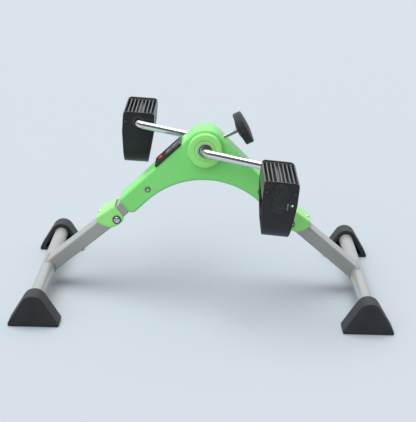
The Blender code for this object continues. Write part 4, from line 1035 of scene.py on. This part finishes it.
for side, place in leg.items():
    tube = stock_tube(f"{side}_leg_tube_smooth", 9 * MM, LEG_LENGTH, LEG_RISE, place)
    across = local_frame(placed((LEG_LENGTH, 0, LEG_RISE), place), (0, 1, 0), (1, 0, 0))
    button_hole = local_frame(placed((18 * MM, 0, 0), place), place[1][2], place[1][0])
    carve(tube, [tool_ring(CROSS_R + 0.05 * MM, -60 * MM, 60 * MM, across, 96),
                 tool_ring(3.35 * MM, 5 * MM, 40 * MM, button_hole, 32)])
    dress(tube, silver_paint, f"{side}_leg", f"{side}_leg_tube", slot="painted_tube")
    neck = stock_tube(f"{side}_neck_tube_smooth", -78.4 * MM, 6 * MM, NECK_RISE, arm[side])
    pivot_axis = local_frame(place[0], (0, 1, 0), (1, 0, 0))
    carve(neck, [tool_ring(3.35 * MM, -60 * MM, 60 * MM, pivot_axis, 32)])
    dress(neck, silver_paint, "housing", f"{side}_neck_tube", slot="painted_tube")

    corners = [(-10, 19.8, 4), (-11.6, -8.2, 9), (18, -8.2, 22), (30, 22.9, 7)]
    leaf = evenly(rounded([(x * MM, z * MM, r * MM) for x, z, r in corners], step=5.0), 3 * MM)
    cap = skin(f"{side}_hinge_cap_smooth", placed(slab(leaf, -24 * MM, 24 * MM, 3.4 * MM, across_y),
                                                  place))
    chamber = np.array([(-60, -60), (60, -60), (60, 14.5), (12, 14.5), (12, 17.2),
                        (-60, 17.2)]) * MM
    chamber = np.stack([across_y(chamber, -20.3 * MM), across_y(chamber, 20.3 * MM)])
    carve(cap, [skin("tool", placed(chamber, place)), tool_ring(3.35 * MM, -60 * MM, 60 * MM,
                                                                pivot_axis, 32),
                tool_ring(3.35 * MM, 5 * MM, 60 * MM, button_hole, 32)])
    dress(cap, cap_lime, f"{side}_leg", f"{side}_hinge_cap", slot="lime_plastic")

    dome = np.linspace(0.0, math.pi / 2, 8)
    crown = np.stack([3 * np.cos(dome), 22.2 + 1.27 * np.sin(dome)], axis=1)
    profile = np.concatenate([[(0.0, 10.9), (4.6, 10.9), (4.6, 12.4), (3.0, 12.4)], crown]) * MM
    lock = skin(f"{side}_lock_button_smooth", ring_of(profile, 40, button_hole))
    dress(lock, rod_chrome, f"{side}_lock", f"{side}_lock_button", slot="chrome")
print("legs done")

# %% [markdown]
# ## Floor tubes, welds and feet
#
# A weld is a bead of small overlapping ripples. It runs along the line where the rectangular tube
# meets the round one, which a formula gives: at each height z on the tube's outline, the round
# tube's surface lies at length - sqrt(R squared - z squared). A circle whose radius ripples is
# carried along it.

# %% Floor tubes and weld beads
for side, place in leg.items():
    way = 1 if side == "right" else -1
    centre = local_frame((way * CROSS_X, 0, CROSS_Z), (0, 1, 0), (1, 0, 0))
    wall = [(11.0, -182.7), (11.0, 182.7), (9.5, 182.7), (9.5, -182.7)]
    floor_tube = skin(f"{side}_cross_tube_smooth", ring_of(np.array(wall) * MM, 80, centre),
                      joined=True)
    dress(floor_tube, silver_paint, f"{side}_leg", f"{side}_cross_tube", slot="painted_tube")

    outline = evenly(stock_outline(0.0, 0.0), 0.5 * MM)
    depth = LEG_LENGTH - np.sqrt(CROSS_R ** 2 - np.clip(outline[:, 1], -10 * MM, 10 * MM) ** 2)
    bead_path = np.column_stack([depth, outline[:, 0], outline[:, 1] + LEG_RISE])
    outward = np.column_stack([np.zeros(len(outline)), outline / (20 * MM, 10 * MM)])
    steps = np.arange(len(outline))
    radius = (1.25 + 0.3 * np.abs(np.sin(steps * math.pi / 5))) * MM
    weld = skin(f"{side}_weld_bead", placed(swept(bead_path, outward, radius, 12, closed=True),
                                            place), joined=True)
    dress(weld, weld_grey, f"{side}_leg", slot="painted_tube", angle=70)
print("welds follow", len(bead_path), "points")

# %% [markdown]
# The feet are rubber shoes pushed on the ends of the floor tubes. Their outline is a belt round
# three circles: one big circle over the tube, and two small ones at the floor. A second, smaller
# belt is the mouth, which is open towards the middle. Both belts have as many points, so one grid
# joins them.

# %% Rubber feet
def belt(circles, arc_points=20, side_points=14):
    """Outline round three circles (x, z, radius): an arc on each, then the straight to the next."""
    parts = []
    for index, (x, z, radius) in enumerate(circles):
        ends = []
        for first, second in ((circles[index - 1], (x, z, radius)),
                              ((x, z, radius), circles[(index + 1) % 3])):
            dx, dz = second[0] - first[0], second[1] - first[1]
            ends.append(math.atan2(dz, dx) - math.acos((first[2] - second[2]) / math.hypot(dx, dz)))
        sweep = np.linspace(ends[0], ends[0] + (ends[1] - ends[0]) % (2 * math.pi), arc_points)
        parts.append(np.array([x, z]) + radius * np.stack([np.cos(sweep), np.sin(sweep)], axis=1))
    joined = []
    for part, following in zip(parts, parts[1:] + parts[:1]):
        share = np.linspace(0.0, 1.0, side_points + 2)[1:-1, None]
        joined += [part, part[-1] * (1 - share) + following[0] * share]
    return np.concatenate(joined)


FOOT_FACE = 189 * MM
outer_belt = belt([(0.0, 0.0, 17.3 * MM), (-33.5 * MM, 3 * MM - CROSS_Z, 3 * MM),
                   (32 * MM, 3 * MM - CROSS_Z, 3 * MM)])
mouth_belt = belt([(0.0, 0.0, 11.3 * MM), (-25 * MM, 6 * MM - CROSS_Z, 2 * MM),
                   (23.5 * MM, 6 * MM - CROSS_Z, 2 * MM)])
for side, place in leg.items():
    way = 1 if side == "right" else -1
    for end, front in (("front", -1), ("rear", 1)):
        rows = [(inset(outer_belt, 2.3 * MM), FOOT_FACE)]
        side_wall = [(0.0, 176 * MM), (0.0, 160 * MM), (0.0, 155 * MM)]
        mouth_rim = [(0.3 * MM, 154.3 * MM), (0.9 * MM, 154 * MM)]
        rows += [(inset(outer_belt, inward), depth)
                 for inward, depth in edge_steps(2 * MM, FOOT_FACE) + side_wall + mouth_rim]
        rows += [(inset(mouth_belt, -0.5 * MM), 154 * MM), (mouth_belt, 154.6 * MM),
                 (mouth_belt, 183 * MM)]
        grid = np.stack([across_y(shape, front * depth) for shape, depth in rows])
        hinge = local_frame((way * CROSS_X, 0, CROSS_Z), (0, 0, 1), (way, 0, 0))
        grid[..., 1] *= way
        foot = skin(f"{side}_foot_{end}_smooth", placed(grid, hinge))
        low, high = sorted((front * way * 184 * MM, front * way * 156 * MM))
        web = tool_block((-2.5 * MM, low, 2 * MM - CROSS_Z), (2.5 * MM, high, -11.3 * MM), hinge)
        carve(foot, [web], "UNION")
        grooves = []
        for x in (-24, -16, -8, 0, 8, 16, 24):
            low, high = sorted((front * way * 186 * MM, front * way * 157 * MM))
            grooves.append(tool_block(((x - 0.9) * MM, low, -30 * MM - CROSS_Z),
                                      ((x + 0.9) * MM, high, 1.2 * MM - CROSS_Z), hinge))
        carve(foot, grooves)
        dress(foot, foot_rubber, f"{side}_leg", f"{side}_foot_{end}", slot="rubber")
print("foot faces:", len(foot.data.polygons))

# %% [markdown]
# ## The rest of the frame
#
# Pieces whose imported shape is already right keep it, and only get a finish: the ribbed treads, and
# the parts inside the housing. Their objects are not touched, just their material slots.

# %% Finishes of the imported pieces
KEPT = {"pedal_core": tread_black, "bearing": zinc_plate, "shell_nut": zinc_plate,
        "hinge_nut": zinc_plate, "spindle_clip": zinc_plate, "friction_drum": zinc_plate,
        "crank_magnet": rod_chrome, "lock_spring": zinc_plate, "meter_cell": zinc_plate,
        "meter_lens": display_grey, "meter_board": board_green, "reed_switch": inner_black,
        "tension_block": inner_black, "brake_shoe": inner_black}
painted = 0
for name, node in frame["nodes"].items():
    finish = next((value for ending, value in KEPT.items() if name.endswith(ending)), None)
    if finish is not None and not node.hide_render:
        for material_slot in node.material_slots:
            material_slot.material = finish
        painted += 1
    elif not node.hide_render:
        print("no finish for", name)
print("packed pieces with a new finish:", painted)

# %% [markdown]
# ## Floor and light
#
# The exerciser stands on a wide pale floor. Two wide soft suns, one overhead and a weaker one at
# the front left, light it evenly, because a near lamp would leave a bright patch on the floor. The
# sky is pale overhead and behind, and dim in front, so that polished metal shows a dark streak
# between two light ones. The weaker sun is hidden from mirrors for the same reason.

# %% Floor, lights and sky
floor_grid = np.array([[[-6.0, -4.0, 0.0], [6.0, -4.0, 0.0]], [[-6.0, 8.0, 0.0], [6.0, 8.0, 0.0]]])
floor_mesh = bpy.data.meshes.new("floor")
floor_mesh.from_pydata(floor_grid.reshape(-1, 3), [], [(0, 1, 3, 2)])
floor = bpy.data.objects.new("floor", floor_mesh)
bpy.context.collection.objects.link(floor)
floor_recipe = Recipe("pale_floor", (0.402, 0.442, 0.478), 0.85)
floor.data.materials.append(floor_recipe.material)


def sun(name, toward, power, softness):
    """Even light from far away, from the direction `toward`, softened over a wide angle."""
    light = bpy.data.lights.new(name, "SUN")
    light.energy = power
    light.angle = math.radians(softness)
    item = bpy.data.objects.new(name, light)
    bpy.context.collection.objects.link(item)
    item.rotation_euler = (-Vector(toward)).to_track_quat("-Z", "Y").to_euler()
    return item


sun("overhead", (-0.15, 0.10, 1.0), 2.3, 60)
fill = sun("front_left", (-0.5, -1.0, 0.7), 1.65, 60)
fill.visible_glossy = False
sky = bpy.data.worlds.new("sky")
sky.use_nodes = True
tree = sky.node_tree
height = tree.nodes.new("ShaderNodeVectorMath")
height.operation = "DOT_PRODUCT"
height.inputs[1].default_value = (0.0, 0.6, 0.8)
lift = tree.nodes.new("ShaderNodeMapRange")
lift.inputs["From Min"].default_value = 0.05
lift.inputs["From Max"].default_value = 0.80
lift.inputs["To Min"].default_value = 0.12
lift.inputs["To Max"].default_value = 1.05
tree.links.new(tree.nodes.new("ShaderNodeTexCoord").outputs["Generated"], height.inputs[0])
tree.links.new(height.outputs["Value"], lift.inputs["Value"])
tree.links.new(lift.outputs["Result"], tree.nodes["Background"].inputs["Strength"])
tree.nodes["Background"].inputs["Color"].default_value = (0.90, 0.94, 0.98, 1.0)
bpy.context.scene.world = sky

# %% Import json
import json
